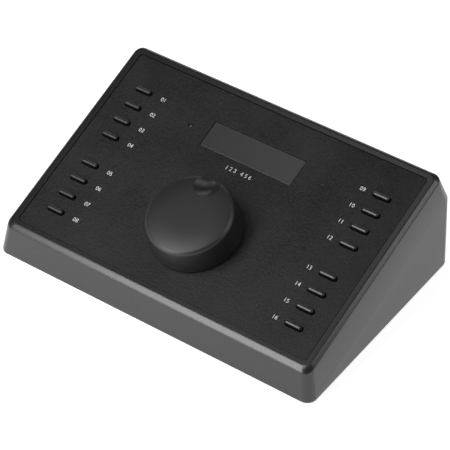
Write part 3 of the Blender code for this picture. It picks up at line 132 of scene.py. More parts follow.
def mend(piece, merge=0, close=False):
    # joins points closer than merge, closes open edges if asked, and turns the faces outwards
    bm = bmesh.new()
    bm.from_mesh(piece.data)
    if merge:
        bmesh.ops.remove_doubles(bm, verts=bm.verts, dist=merge)
    if close:
        bmesh.ops.holes_fill(bm, edges=[edge for edge in bm.edges if edge.is_boundary])
    bmesh.ops.recalc_face_normals(bm, faces=bm.faces)
    bm.to_mesh(piece.data)
    bm.free()


def cutAway(target, bm):
    cutter = newObject("cutter", meshFrom(bm, "cutter"))
    modifier = target.modifiers.new("cut", "BOOLEAN")
    modifier.operation = "DIFFERENCE"
    modifier.solver = "EXACT"
    modifier.object = cutter
    bake(target)
    bpy.data.objects.remove(cutter)


def smooth(piece, angle=30):
    # flat faces keep their own direction, so that the round edges beside them shade evenly
    piece.data.shade_smooth()
    piece.data.set_sharp_from_angle(angle=math.radians(angle))
    modifier = piece.modifiers.new("weights", "WEIGHTED_NORMAL")
    modifier.keep_sharp = True
    modifier.weight = 100
    return bake(piece)


def finishPiece(piece, carrier, slot, *replaced):
    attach(piece, carrier)
    if replaced:
        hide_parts(*replaced)


# Outlines, as lists of (x, y)

def roundedRect(halfX, halfY, radius, steps=10):
    points = []
    for signX, signY, start in ((1, 1, 0), (-1, 1, 90), (-1, -1, 180), (1, -1, 270)):
        for step in range(steps + 1):
            turn = math.radians(start + 90 * step / steps)
            x = signX * (halfX - radius) + radius * math.cos(turn)
            y = signY * (halfY - radius) + radius * math.sin(turn)
            points.append((x, y))
    return points


def barOutline(length, width, grow, steps=12):
    radius = width / 2 + grow
    straight = (length - width) / 2
    points = []
    for side, start in ((1, -90), (-1, 90)):
        for step in range(steps + 1):
            turn = math.radians(start + 180 * step / steps)
            points.append((side * straight + radius * math.cos(turn), radius * math.sin(turn)))
    return points


def circle(radius, sides=64):
    turns = [math.tau * side / sides for side in range(sides)]
    return [(radius * math.cos(turn), radius * math.sin(turn)) for turn in turns]


def moved(points, dx, dy):
    return [(x + dx, y + dy) for x, y in points]


def loft(bm, rings, place=Matrix.Identity(4)):
    layers = [[bm.verts.new(place @ Vector(point)) for point in ring] for ring in rings]
    count = len(layers[0])
    for lower, upper in zip(layers, layers[1:]):
        for side in range(count):
            after = (side + 1) % count
            bm.faces.new((lower[side], lower[after], upper[after], upper[side]))
    bm.faces.new(list(reversed(layers[0])))
    bm.faces.new(layers[-1])


def prism(bm, outline, low, high, place):
    loft(bm, [[(x, y, low) for x, y in outline], [(x, y, high) for x, y in outline]], place)


def plate(name, outlines, low, high, edge, place):
    # a flat plate with holes and softly broken edges, drawn in millimetres as a filled curve
    data = bpy.data.curves.new(name, "CURVE")
    data.dimensions = "2D"
    data.fill_mode = "BOTH"
    data.extrude = (high - low) / 2 - edge
    data.bevel_depth = edge
    data.bevel_resolution = 2
    data.offset = -edge
    for outline in outlines:
        spline = data.splines.new("POLY")
        spline.points.add(len(outline) - 1)
        for point, (x, y) in zip(spline.points, outline):
            point.co = (x, y, 0, 1)
        spline.use_cyclic_u = True
    piece = bpy.data.objects.new(name, data)
    scene.collection.objects.link(piece)
    piece = bake(piece)
    piece.data.transform(Matrix.Translation((0, 0, (low + high) / 2)))
    mend(piece, merge=edge / 50)
    piece.data.transform(place @ toMetres)
    return smooth(piece)


# Materials: the real material, how its surface was made, and what that gives the eye

def newMaterial(name):
    material = bpy.data.materials.new(name)
    material.use_nodes = True
    tree = material.node_tree
    shader = tree.nodes["Principled BSDF"]
    place = addNode(tree, "ShaderNodeTexCoord").outputs["Object"]
    return material, tree, shader, place


def perMetre(millimetres):
    # noise scale for a grain of that size
    return 1 / (millimetres * mm)


def coat(name, colour, variation, roughness, grain, height, spread=0.05, ior=1.5, drift=35, fineShare=0.6):
    # a coat or a moulded surface: grain in the surface, and a slow drift in tone and sheen
    # grain, height and drift are millimetres
    material, tree, shader, place = newMaterial(name)
    fine = addNode(tree, "ShaderNodeTexNoise", {
        "Vector": place, "Scale": perMetre(grain), "Detail": 3.0, "Roughness": 0.6,
    })
    slow = addNode(tree, "ShaderNodeTexNoise", {"Vector": place, "Scale": perMetre(drift), "Detail": 2.0})
    blend = addNode(tree, "ShaderNodeMath", {0: fine.outputs["Fac"], 1: fineShare}, operation="MULTIPLY")
    blend = addNode(tree, "ShaderNodeMath", {
        0: slow.outputs["Fac"], 1: 1 - fineShare, 2: blend.outputs[0],
    }, operation="MULTIPLY_ADD")
    ramp = addNode(tree, "ShaderNodeMapRange", {
        "Value": blend.outputs[0], "From Min": 0.35, "From Max": 0.65,
    })
    tone = addNode(tree, "ShaderNodeMix", {
        "Factor": ramp.outputs["Result"], 6: fromHex(colour), 7: fromHex(variation),
    }, data_type="RGBA")
    sheen = addNode(tree, "ShaderNodeMapRange", {
        "Value": blend.outputs[0], "From Min": 0.3, "From Max": 0.7,
        "To Min": roughness - spread, "To Max": roughness + spread,
    })
    bump = addNode(tree, "ShaderNodeBump", {
        "Height": fine.outputs["Fac"], "Strength": 1.0, "Distance": height * mm,
    })
    tree.links.new(tone.outputs[2], shader.inputs["Base Color"])
    tree.links.new(sheen.outputs["Result"], shader.inputs["Roughness"])
    tree.links.new(bump.outputs["Normal"], shader.inputs["Normal"])
    shader.inputs["IOR"].default_value = ior
    return material


# Aluminium casting, satin powder coat: nearly smooth, soft wide highlights
satinPowderCoat = coat(
    "satinPowderCoat", "131314", "161617", roughness=0.28, grain=0.5, height=0.003, spread=0.03, ior=1.62,
)
# Pressed steel fascia, fine structured coat: matt, its grain drawn coarser than the real one so that it shows
structuredCoat = coat(
    "structuredCoat", "0a0b0b", "222223", roughness=0.46, grain=1.2, height=0.22, spread=0.08, ior=1.38,
)
# Turned aluminium knob, soft-touch satin lacquer: one wide soft highlight, no visible grain
softTouchLacquer = coat(
    "softTouchLacquer", "101011", "141415", roughness=0.44, grain=0.35, height=0.003, spread=0.03, ior=1.55,
)
# Moulded ABS key with a spark-eroded mould finish: a narrow bright line along the crown
mouldedAbs = coat(
    "mouldedAbs", "121213", "161617", roughness=0.30, grain=0.25, height=0.003, spread=0.04, ior=1.54,
)


# The sloping panel's frame, from the model's own sizes

body = {
    "width": 200.0, "depth": 127.1, "tilt": 19.4, "frontHeight": 18.1, "stand": 1.5,
    "shoulder": 16.8, "sideInset": 3.3, "frontInset": 3.55, "backInset": 4.7,
    "corner": 5.5, "topCorner": 4.8, "edge": 2.6, "bottomRound": 0.5, "wall": 2.4, "rim": 2.75,
    "cornerSteps": 16, "edgeSteps": 14,
    "gap": 0.3, "deckTop": -1.7, "deckUnder": -3.9,
    "openingHalf": 88.0, "openingLow": 6.3, "openingHigh": 38.9, "openingCorner": 2.0,
}
tilt = math.radians(body["tilt"])
frontTop = Vector((0, -body["depth"] / 2 + body["frontInset"], body["stand"] + body["frontHeight"]))
slopeLength = (body["depth"] - body["frontInset"] - body["backInset"]) / math.cos(tilt)
panelPlace = Matrix.Translation(frontTop * mm) @ Matrix.Rotation(tilt, 4, "X")
panelInMm = Matrix.Translation(frontTop) @ Matrix.Rotation(tilt, 4, "X")

fascia = {"thick": 1.2, "sink": 0.2, "corner": 1.5, "edge": 0.12}
fascia["halfU"] = body["width"] / 2 - body["sideInset"] - body["edge"] - body["rim"]
fascia["frontV"] = body["edge"] + body["rim"]
fascia["backV"] = slopeLength - body["edge"] - body["rim"]
fascia["midV"] = (fascia["frontV"] + fascia["backV"]) / 2
fascia["halfV"] = (fascia["backV"] - fascia["frontV"]) / 2

keys = {
    "length": 9.8, "width": 2.2, "proud": 2.1, "crown": 1.0, "sides": 56, "rows": 16, "under": -5.2,
    "clearance": 0.55, "pitch": 10.55, "groupGap": 19.2, "firstV": 18.8, "columnU": 75.8, "perGroup": 4,
}
window = {"length": 58.0, "width": 16.3, "v": 94.5, "corner": 0.6, "sink": 0.25, "edge": 0.1, "ledge": 1.2}
sensor = {"u": -40.0, "radius": 0.9}
knob = {
    "v": 42.1, "radius": 25.0, "topRadius": 23.3, "top": 16.7, "crown": 1.3, "power": 4, "edge": 2.2,
    "float": 1.0, "wall": 2.2, "roof": 5.7, "boss": 6.2, "bossLow": 3.3, "bore": 3.3, "boreTop": 14.8,
    "chamfer": 0.4, "dimpleOffset": 19.3, "dimpleRadius": 6.9, "dimpleDepth": 4.6, "dimpleOpening": 5.0,
    "dimpleTurn": 2.7, "lip": 0.35, "washerRoom": 8.0, "bushing": 4.8,
    "sides": 288, "crowding": 0.65, "sideSteps": 30, "edgeSteps": 24,
    "inner": 12.0, "outerRows": 60, "innerRows": 24,  # finer rows beyond the inner radius, at the dimple
}
overrun = {"floor": 4.0, "face": 2.0, "deck": 0.6, "wall": 0.2}  # how far shapes run past a face for a clean cut


def keyRows():
    lower = [keys["firstV"] + row * keys["pitch"] for row in range(keys["perGroup"])]
    start = lower[-1] + keys["groupGap"]
    return lower + [start + row * keys["pitch"] for row in range(keys["perGroup"])]


def keyPlaces():
    return [(side * keys["columnU"], v) for side in (-1, 1) for v in keyRows()]


# Housing

def topHeight(y):
    return frontTop.z + (y - frontTop.y) * math.tan(tilt)


def bodyRing(drop, extra=0.0, radius=None):
    share = max(0, 1 - drop / body["shoulder"])
    halfX = body["width"] / 2 - body["sideInset"] * share - extra
    front = -body["depth"] / 2 + body["frontInset"] * share + extra
    back = body["depth"] / 2 - body["backInset"] * share - extra
    outline = roundedRect(halfX, (back - front) / 2, radius or body["corner"], body["cornerSteps"])
    return [(x, y, topHeight(y) - drop) for x, y in moved(outline, 0, (back + front) / 2)]


def makeHousing(material):
    deep = topHeight(body["depth"] / 2) + overrun["floor"]
    rings = [bodyRing(deep), bodyRing(body["shoulder"])]
    steps = body["edgeSteps"]
    for step in range(steps, -1, -1):
        turn = math.radians(90 * step / steps)
        drop = body["edge"] * (1 - math.cos(turn))
        extra = body["edge"] * (1 - math.sin(turn))
        share = max(0, 1 - drop / body["shoulder"])
        radius = body["corner"] + (body["topCorner"] - body["corner"]) * share - extra / 2
        rings.append(bodyRing(drop, extra, radius))
    bm = bmesh.new()
    loft(bm, rings)
    everything = bm.verts[:] + bm.edges[:] + bm.faces[:]
    floorLevel = (0, 0, body["stand"])
    cut = bmesh.ops.bisect_plane(
        bm, geom=everything, plane_co=floorLevel, plane_no=(0, 0, 1), clear_inner=True,
    )
    edges = [item for item in cut["geom_cut"] if isinstance(item, bmesh.types.BMEdge)]
    bmesh.ops.contextual_create(bm, geom=edges)
    bmesh.ops.bevel(
        bm, geom=edges, offset=body["bottomRound"], segments=4, profile=0.5,
        affect="EDGES", clamp_overlap=True,
    )
    housing = newObject("housingShell", meshFrom(bm, "housingShell"), material)

    roof = -body["deckUnder"] / math.cos(tilt)
    wall = body["wall"]
    bm = bmesh.new()
    loft(bm, [bodyRing(drop, wall, body["corner"] - wall) for drop in (deep + wall, body["shoulder"], roof)])
    cutAway(housing, bm)

    gap = body["gap"]
    bm = bmesh.new()
    pocket = roundedRect(fascia["halfU"] + gap, fascia["halfV"] + gap, fascia["corner"] + gap)
    prism(bm, moved(pocket, 0, fascia["midV"]), body["deckTop"], overrun["face"], panelInMm)
    high, low = body["openingHigh"], body["openingLow"]
    opening = roundedRect(body["openingHalf"], (high - low) / 2, body["openingCorner"])
    turn = Matrix.Rotation(math.radians(90), 4, "X")
    back = Matrix.Translation((0, body["depth"] / 2, (high + low) / 2)) @ turn
    prism(bm, opening, -overrun["face"], wall + overrun["wall"], back)
    cutAway(housing, bm)

    bm = bmesh.new()
    low, high = body["deckUnder"] - overrun["deck"], body["deckTop"] + overrun["deck"]
    slot = barOutline(keys["length"], keys["width"], keys["clearance"])
    for u, v in keyPlaces():
        prism(bm, moved(slot, u, v), low, high, panelInMm)
    ledge = window["ledge"]
    view = roundedRect(window["length"] / 2 - ledge, window["width"] / 2 - ledge, window["corner"])
    prism(bm, moved(view, 0, window["v"]), low, high, panelInMm)
    prism(bm, moved(circle(knob["bushing"]), 0, knob["v"]), low, high, panelInMm)
    prism(bm, moved(circle(sensor["radius"] + gap), sensor["u"], window["v"]), low, high, panelInMm)
    cutAway(housing, bm)
    housing.data.transform(toMetres)
    return smooth(housing, 28)


housing = makeHousing(satinPowderCoat)
finishPiece(housing, "base", "housing_coat", "housing_shell")
print("housing made:", len(housing.data.polygons), "faces")


# Fascia and display window

def makeFascia(material):
    gap = body["gap"]
    outlines = [moved(roundedRect(fascia["halfU"], fascia["halfV"], fascia["corner"]), 0, fascia["midV"])]
    slot = barOutline(keys["length"], keys["width"], keys["clearance"])
    outlines += [moved(slot, u, v) for u, v in keyPlaces()]
    view = roundedRect(window["length"] / 2, window["width"] / 2, window["corner"] + gap)
    outlines.append(moved(view, 0, window["v"]))
    outlines.append(moved(circle(knob["washerRoom"]), 0, knob["v"]))
    outlines.append(moved(circle(sensor["radius"] + gap, 32), sensor["u"], window["v"]))
    high = -fascia["sink"]
    piece = plate("fasciaPlate", outlines, high - fascia["thick"], high, fascia["edge"], panelPlace)
    dress(piece.data, material)
    return piece


fasciaPlate = makeFascia(structuredCoat)
finishPiece(fasciaPlate, "base", "fascia_coat", "fascia_panel")


def makeSmokedAcrylic():
    # cast acrylic, smoked, with a hard anti-glare coat: clear edges, a veiled reflection
    material, tree, shader, place = newMaterial("smokedAcrylic")
    veil = addNode(tree, "ShaderNodeTexNoise", {"Vector": place, "Scale": perMetre(9), "Detail": 2.0})
    sheen = addNode(tree, "ShaderNodeMapRange", {
        "Value": veil.outputs["Fac"], "To Min": 0.20, "To Max": 0.28,
    })
    tone = addNode(tree, "ShaderNodeMix", {
        "Factor": veil.outputs["Fac"], 6: fromHex("2a2a2b"), 7: fromHex("303031"),
    }, data_type="RGBA")
    tree.links.new(tone.outputs[2], shader.inputs["Base Color"])
    tree.links.new(sheen.outputs["Result"], shader.inputs["Roughness"])
    return material


smokedAcrylic = makeSmokedAcrylic()


def makeWindow(material):
    gap = body["gap"]
    outline = roundedRect(window["length"] / 2 - gap, window["width"] / 2 - gap, window["corner"])
    high = -fascia["sink"] - window["sink"]
    low = body["deckTop"] + gap
    place = panelPlace @ Matrix.Translation((0, window["v"] * mm, 0))
    piece = plate("displayWindow", [outline], low, high, window["edge"], place)
    dress(piece.data, material)
    return piece


displayWindow = makeWindow(smokedAcrylic)
finishPiece(displayWindow, "base", "smoked_window", "display_window")
print("fascia and window made")


# Keys: one Geometry Nodes tree wraps a grid round the bar and its crowned top

def newTree(name, kinds):
    tree = bpy.data.node_groups.new(name, "GeometryNodeTree")
    tree.interface.new_socket("Geometry", in_out="INPUT", socket_type="NodeSocketGeometry")
    identifiers = {}
    for label, kind in kinds.items():
        socket = tree.interface.new_socket(label, in_out="INPUT", socket_type=f"NodeSocket{kind}")
        identifiers[label] = socket.identifier
    tree.interface.new_socket("Geometry", in_out="OUTPUT", socket_type="NodeSocketGeometry")
    return tree, identifiers


def gridPoints(tree, given):
    # a grid with one column for each side and one to close the round, and each point's column and row
    columns = addNode(tree, "ShaderNodeMath", {0: given["Sides"], 1: 1.0}, operation="ADD").outputs[0]
    grid = addNode(tree, "GeometryNodeMeshGrid", {"Vertices X": columns, "Vertices Y": given["Rows"]})
    index = addNode(tree, "GeometryNodeInputIndex").outputs[0]
    column = addNode(tree, "ShaderNodeMath", {0: index, 1: given["Rows"]}, operation="DIVIDE").outputs[0]
    column = addNode(tree, "ShaderNodeMath", {0: column}, operation="FLOOR").outputs[0]
    row = addNode(tree, "ShaderNodeMath", {0: index, 1: given["Rows"]}, operation="MODULO").outputs[0]
    row = addNode(tree, "ShaderNodeMath", {0: row}, operation="ROUND").outputs[0]
    return grid, column, row


def endTree(tree, given, grid, position, weld):
    # the grid's points go to their places, and those closer than weld become one
    shaped = addNode(tree, "GeometryNodeSetPosition", {"Geometry": grid.outputs["Mesh"], "Position": position})
    welded = addNode(tree, "GeometryNodeMergeByDistance", {"Geometry": shaped.outputs[0], "Distance": weld})
    real = addNode(tree, "GeometryNodeRealizeInstances", {0: welded.outputs[0]})
    coated = addNode(tree, "GeometryNodeSetMaterial", {
        "Geometry": real.outputs[0], "Material": given["Material"],
    })
    addNode(tree, "NodeGroupOutput", {0: coated.outputs[0]})


def runTree(piece, tree, identifiers, values):
    modifier = piece.modifiers.new("shape", "NODES")
    modifier.node_group = tree
    for label, value in values.items():
        modifier[identifiers[label]] = value
    piece = bake(piece)
    mend(piece, merge=1e-6)
    return piece


def makeKeyTree():
    # a grid is wrapped into a bar: columns run round it, rows climb from the foot to the top's middle line
    tree, identifiers = newTree("keyShape", {
        "Length": "Float", "Width": "Float", "Proud": "Float", "Crown": "Float", "Under": "Float",
        "Sides": "Int", "Rows": "Int", "Material": "Material",
    })
    given = addNode(tree, "NodeGroupInput").outputs
    grid, column, row = gridPoints(tree, given)
    isFoot = addNode(tree, "ShaderNodeMath", {0: row, 1: 0.5}, operation="LESS_THAN").outputs[0]
    isMiddle = addNode(tree, "ShaderNodeMath", {0: given["Rows"], 1: 1.5}, operation="SUBTRACT").outputs[0]
    isMiddle = addNode(tree, "ShaderNodeMath", {0: row, 1: isMiddle}, operation="GREATER_THAN").outputs[0]
    # row 0 is the foot, the last row the middle line, and the rows between climb the crown
    arcRows = addNode(tree, "ShaderNodeMath", {0: given["Rows"], 1: 3.0}, operation="SUBTRACT").outputs[0]
    climb = addNode(tree, "ShaderNodeMath", {0: row, 1: 1.0}, operation="SUBTRACT").outputs[0]
    climb = addNode(tree, "ShaderNodeMath", {
        0: climb, 1: arcRows,
    }, operation="DIVIDE", use_clamp=True).outputs[0]
    arc = addNode(tree, "ShaderNodeMath", {0: climb, 1: math.pi / 2}, operation="MULTIPLY").outputs[0]
    inward = addNode(tree, "ShaderNodeMath", {0: arc}, operation="COSINE").outputs[0]
    upward = addNode(tree, "ShaderNodeMath", {0: arc}, operation="SINE").outputs[0]
    # the round ends: an angle round the bar, a hair off so that its cosine is never zero,
    # and the straight part added on the side that the cosine's sign gives
    angle = addNode(tree, "ShaderNodeMath", {0: column, 1: given["Sides"]}, operation="DIVIDE").outputs[0]
    angle = addNode(tree, "ShaderNodeMath", {
        0: angle, 1: math.tau, 2: 0.0001,
    }, operation="MULTIPLY_ADD").outputs[0]
    across = addNode(tree, "ShaderNodeMath", {0: angle}, operation="COSINE").outputs[0]
    along = addNode(tree, "ShaderNodeMath", {0: angle}, operation="SINE").outputs[0]
    flat = addNode(tree, "ShaderNodeMath", {0: given["Width"], 1: 0.5}, operation="MULTIPLY").outputs[0]
    flat = addNode(tree, "ShaderNodeMath", {0: flat, 1: given["Crown"]}, operation="SUBTRACT").outputs[0]
    reach = addNode(tree, "ShaderNodeMath", {
        0: inward, 1: given["Crown"], 2: flat,
    }, operation="MULTIPLY_ADD").outputs[0]
    reach = addNode(tree, "ShaderNodeMix", {0: isMiddle, 2: reach, 3: 0.0}).outputs[0]
    straight = addNode(tree, "ShaderNodeMath", {
        0: given["Length"], 1: given["Width"],
    }, operation="SUBTRACT").outputs[0]
    straight = addNode(tree, "ShaderNodeMath", {0: straight, 1: 0.5}, operation="MULTIPLY").outputs[0]
    side = addNode(tree, "ShaderNodeMath", {0: across}, operation="SIGN").outputs[0]
    shift = addNode(tree, "ShaderNodeMath", {0: side, 1: straight}, operation="MULTIPLY").outputs[0]
    x = addNode(tree, "ShaderNodeMath", {0: across, 1: reach, 2: shift}, operation="MULTIPLY_ADD").outputs[0]
    y = addNode(tree, "ShaderNodeMath", {0: along, 1: reach}, operation="MULTIPLY").outputs[0]
    start = addNode(tree, "ShaderNodeMath", {
        0: given["Proud"], 1: given["Crown"],
    }, operation="SUBTRACT").outputs[0]
    z = addNode(tree, "ShaderNodeMath", {
        0: upward, 1: given["Crown"], 2: start,
    }, operation="MULTIPLY_ADD").outputs[0]
    z = addNode(tree, "ShaderNodeMix", {0: isFoot, 2: z, 3: given["Under"]}).outputs[0]
    spot = addNode(tree, "ShaderNodeCombineXYZ", {0: x, 1: y, 2: z}).outputs[0]
    endTree(tree, given, grid, spot, weld=0.001)
    return tree, identifiers


def makeKeys(material):
    tree, identifiers = makeKeyTree()
    values = {
        "Length": keys["length"], "Width": keys["width"], "Proud": keys["proud"], "Crown": keys["crown"],
        "Under": keys["under"], "Sides": keys["sides"], "Rows": keys["rows"], "Material": material,
    }
    for column, side in (("left", -1), ("right", 1)):
        for number, v in enumerate(reversed(keyRows()), 1):
            piece = newObject(f"keyCap_{column}_{number}", bpy.data.meshes.new("key"))
            piece = runTree(piece, tree, identifiers, values)
            mend(piece, close=True)  # the foot, which the deck hides
            place = panelPlace @ Matrix.Translation((side * keys["columnU"] * mm, v * mm, 0))
            piece.data.transform(place @ toMetres)
            smooth(piece, 60)
            finishPiece(piece, f"key_{column}_{number}", "key_plastic", f"key_{column}_{number}")


makeKeys(mouldedAbs)
print("keys made")


# Knob: a Geometry Nodes tree turns its section round the axis and sinks the finger dimple with a soft lip

def knobSection():
    foot = -fascia["sink"] + knob["float"]
    roof = knob["top"] - knob["roof"]
    section = [
        (0, knob["boreTop"]), (knob["bore"], knob["boreTop"]), (knob["bore"], knob["bossLow"]),
        (knob["boss"], knob["bossLow"]), (knob["boss"], roof), (knob["topRadius"] - knob["wall"], roof),
        (knob["radius"] - knob["wall"], foot), (knob["radius"] - knob["chamfer"], foot),
        (knob["radius"], foot + knob["chamfer"]),
    ]
    flare = (knob["radius"] - knob["topRadius"]) / (knob["top"] - foot)
    domeSlope = math.atan(knob["power"] * knob["crown"] / (knob["topRadius"] - knob["edge"]))
    sideSteps, edgeSteps = knob["sideSteps"], knob["edgeSteps"]
    low = foot + knob["chamfer"]
    high = knob["top"] - knob["edge"]
    for step in range(1, sideSteps):
        height = low + (high - low) * step / sideSteps
        section.append((knob["topRadius"] + flare * (knob["top"] - height), height))
    for step in range(edgeSteps + 1):
        turn = (math.pi / 2 - domeSlope) * step / edgeSteps
        height = high + knob["edge"] * math.sin(turn)
        radius = knob["topRadius"] - knob["edge"] * (1 - math.cos(turn))
        section.append((radius + flare * (knob["top"] - height), height))
    rimRadius, rimHeight = section[-1]
    inner, outerRows, innerRows = knob["inner"], knob["outerRows"], knob["innerRows"]
    radii = [rimRadius + (inner - rimRadius) * step / outerRows for step in range(1, outerRows + 1)]
    radii += [inner * (1 - step / innerRows) for step in range(1, innerRows)]
    for radius in radii + [0]:
        section.append((radius, rimHeight + knob["crown"] * (1 - (radius / rimRadius) ** knob["power"])))
    return section


def makeKnobTree():
    tree, identifiers = newTree("turnedKnob", {
        "Sides": "Int", "Rows": "Int", "Top": "Float", "Dimple Offset": "Float", "Dimple Radius": "Float",
        "Dimple Steepness": "Float", "Dimple Opening": "Float", "Lip": "Float", "Crowding": "Float",
        "Material": "Material",
    })
    given = addNode(tree, "NodeGroupInput").outputs
    grid, column, row = gridPoints(tree, given)
    # the columns crowd together at the dimple's side
    turn = addNode(tree, "ShaderNodeMath", {0: column, 1: given["Sides"]}, operation="DIVIDE").outputs[0]
    turn = addNode(tree, "ShaderNodeMath", {0: turn, 1: math.tau}, operation="MULTIPLY").outputs[0]
    sine = addNode(tree, "ShaderNodeMath", {0: turn}, operation="SINE").outputs[0]
    crowd = addNode(tree, "ShaderNodeMath", {0: sine, 1: given["Crowding"]}, operation="MULTIPLY").outputs[0]
    turn = addNode(tree, "ShaderNodeMath", {0: turn, 1: crowd}, operation="SUBTRACT").outputs[0]
    position = addNode(tree, "GeometryNodeInputPosition").outputs[0]
    sample = addNode(tree, "GeometryNodeSampleIndex", {
        "Geometry": given["Geometry"], "Index": row,
    }, data_type="FLOAT_VECTOR")
    tree.links.new(position, sample.inputs["Value"])
    section = addNode(tree, "ShaderNodeSeparateXYZ", {0: sample.outputs[0]}).outputs
    # column 0 faces +Y, where the dimple is
    sine = addNode(tree, "ShaderNodeMath", {0: turn}, operation="SINE").outputs[0]
    cosine = addNode(tree, "ShaderNodeMath", {0: turn}, operation="COSINE").outputs[0]
    x = addNode(tree, "ShaderNodeMath", {0: sine, 1: section[0]}, operation="MULTIPLY").outputs[0]
    y = addNode(tree, "ShaderNodeMath", {0: cosine, 1: section[0]}, operation="MULTIPLY").outputs[0]
    # the dimple is a bowl that grows deeper towards the rim and runs out through it
    out = addNode(tree, "ShaderNodeMath", {0: y, 1: given["Dimple Offset"]}, operation="SUBTRACT").outputs[0]
    across = addNode(tree, "ShaderNodeMath", {0: x, 1: x}, operation="MULTIPLY").outputs[0]
    along = addNode(tree, "ShaderNodeMath", {0: out, 1: out, 2: across}, operation="MULTIPLY_ADD").outputs[0]
    bowl = addNode(tree, "ShaderNodeMath", {0: given["Dimple Radius"], 1: 2.0}, operation="POWER").outputs[0]
    bowl = addNode(tree, "ShaderNodeMath", {0: bowl, 1: along}, operation="SUBTRACT").outputs[0]
    spare = addNode(tree, "ShaderNodeMath", {
        0: given["Dimple Radius"], 1: out,
    }, operation="SUBTRACT").outputs[0]
    runOut = addNode(tree, "ShaderNodeMath", {
        0: given["Dimple Opening"], 1: spare,
    }, operation="DIVIDE").outputs[0]
    runOut = addNode(tree, "ShaderNodeMath", {0: runOut, 1: 1.0}, operation="ADD").outputs[0]
    bowl = addNode(tree, "ShaderNodeMath", {0: bowl, 1: runOut}, operation="MULTIPLY").outputs[0]
    bowl = addNode(tree, "ShaderNodeMath", {
        0: bowl, 1: given["Dimple Steepness"],
    }, operation="MULTIPLY").outputs[0]
    floor = addNode(tree, "ShaderNodeMath", {0: given["Top"], 1: bowl}, operation="SUBTRACT").outputs[0]
    z = addNode(tree, "ShaderNodeMath", {
        0: section[2], 1: floor, 2: given["Lip"],
    }, operation="SMOOTH_MIN").outputs[0]
    pressed = addNode(tree, "ShaderNodeCombineXYZ", {0: x, 1: y, 2: z}).outputs[0]
    endTree(tree, given, grid, pressed, weld=0.0005)
    return tree, identifiers


def makeKnob(material):
    tree, identifiers = makeKnobTree()
    section = knobSection()
    mesh = bpy.data.meshes.new("knobSection")
    mesh.from_pydata([(x, 0, z) for x, z in section], [(i, i + 1) for i in range(len(section) - 1)], [])
    piece = newObject("volumeKnob", mesh)
    steepness = knob["dimpleDepth"] / (knob["dimpleRadius"] + knob["dimpleOpening"] / 2) ** 2
    values = {
        "Sides": knob["sides"], "Rows": len(section), "Top": knob["top"],
        "Dimple Offset": knob["dimpleOffset"], "Dimple Radius": knob["dimpleRadius"],
        "Dimple Steepness": steepness, "Dimple Opening": knob["dimpleOpening"],
        "Lip": knob["lip"], "Crowding": knob["crowding"], "Material": material,
    }
    piece = runTree(piece, tree, identifiers, values)
    turn = Matrix.Rotation(math.radians(knob["dimpleTurn"]), 4, "Z")
    place = panelPlace @ Matrix.Translation((0, knob["v"] * mm, 0)) @ turn
    piece.data.transform(place @ toMetres)
    smooth(piece, 40)
    return piece


volumeKnob = makeKnob(softTouchLacquer)
finishPiece(volumeKnob, "knob", "knob_coat", "volume_knob")
print("knob made:", len(volumeKnob.data.polygons), "faces")


# Printed numerals beside the keys

def makeScreenInk():
    # screen-printed white epoxy ink: thin, slightly uneven cover
    material, tree, shader, place = newMaterial("screenInk")
    cover = addNode(tree, "ShaderNodeTexNoise", {"Vector": place, "Scale": perMetre(0.4), "Detail": 2.0})
    tone = addNode(tree, "ShaderNodeMix", {
        "Factor": cover.outputs["Fac"], 6: fromHex("c4c4c4"), 7: fromHex("e6e6e6"),
    }, data_type="RGBA")
    tree.links.new(tone.outputs[2], shader.inputs["Base Color"])
    shader.inputs["Roughness"].default_value = 0.55
    return material


screenInk = makeScreenInk()
printing = {
    "size": 3.3, "bold": -0.015, "leftU": -64.3, "rightU": 66.0, "dropV": 1.1, "lift": 0.02, "thick": 0.015,
    "belowV": 80.0, "below": "1 2 3   4 5 6",
}


def printText(name, text, u, v, align):
    data = bpy.data.curves.new(name, "FONT")
    data.body = text
    data.size = printing["size"]
    data.align_x = align
    data.extrude = printing["thick"]
    data.offset = printing["bold"]
    data.resolution_u = 4
    piece = bpy.data.objects.new(name, data)
    scene.collection.objects.link(piece)
    piece = bake(piece)
    place = panelInMm @ Matrix.Translation((u, v, -fascia["sink"] + printing["lift"]))
    piece.data.transform(toMetres @ place)
    return piece


def joinPieces(name, pieces, material):
    bm = bmesh.new()
    for piece in pieces:
        bm.from_mesh(piece.data)
        bpy.data.objects.remove(piece)
    mesh = bpy.data.meshes.new(name)
    bm.to_mesh(mesh)
    bm.free()
    return newObject(name, mesh, material)


def makePrinting(material):
    pieces = []
    rows = keyRows()
    for number, v in enumerate(reversed(rows), 1):
        baseline = v - printing["dropV"]
        opposite = number + len(rows)
        pieces.append(printText("mark", f"{number:02d}", printing["leftU"], baseline, "LEFT"))
        pieces.append(printText("mark", f"{opposite:02d}", printing["rightU"], baseline, "RIGHT"))
    pieces.append(printText("mark", printing["below"], 0, printing["belowV"], "CENTER"))
    return joinPieces("panelNumerals", pieces, material)


panelNumerals = makePrinting(screenInk)
finishPiece(panelNumerals, "base", "fascia_coat")
print("numerals made")


# The other nodes keep their shape and get a material

def makePlated(name, colour, roughness):
    # plated steel: crystal-fine mottling in a metal sheen
    material, tree, shader, place = newMaterial(name)
    grain = addNode(tree, "ShaderNodeTexNoise", {"Vector": place, "Scale": perMetre(0.6), "Detail": 4.0})
    sheen = addNode(tree, "ShaderNodeMapRange", {
        "Value": grain.outputs["Fac"], "To Min": roughness - 0.06, "To Max": roughness + 0.08,
    })
    tree.links.new(sheen.outputs["Result"], shader.inputs["Roughness"])
    shader.inputs["Base Color"].default_value = fromHex(colour)
    shader.inputs["Metallic"].default_value = 1.0
    return material


# Zinc on pressed steel sockets and nuts: cool and bright
zincPlate = makePlated("zincPlate", "bfbfc4", roughness=0.32)
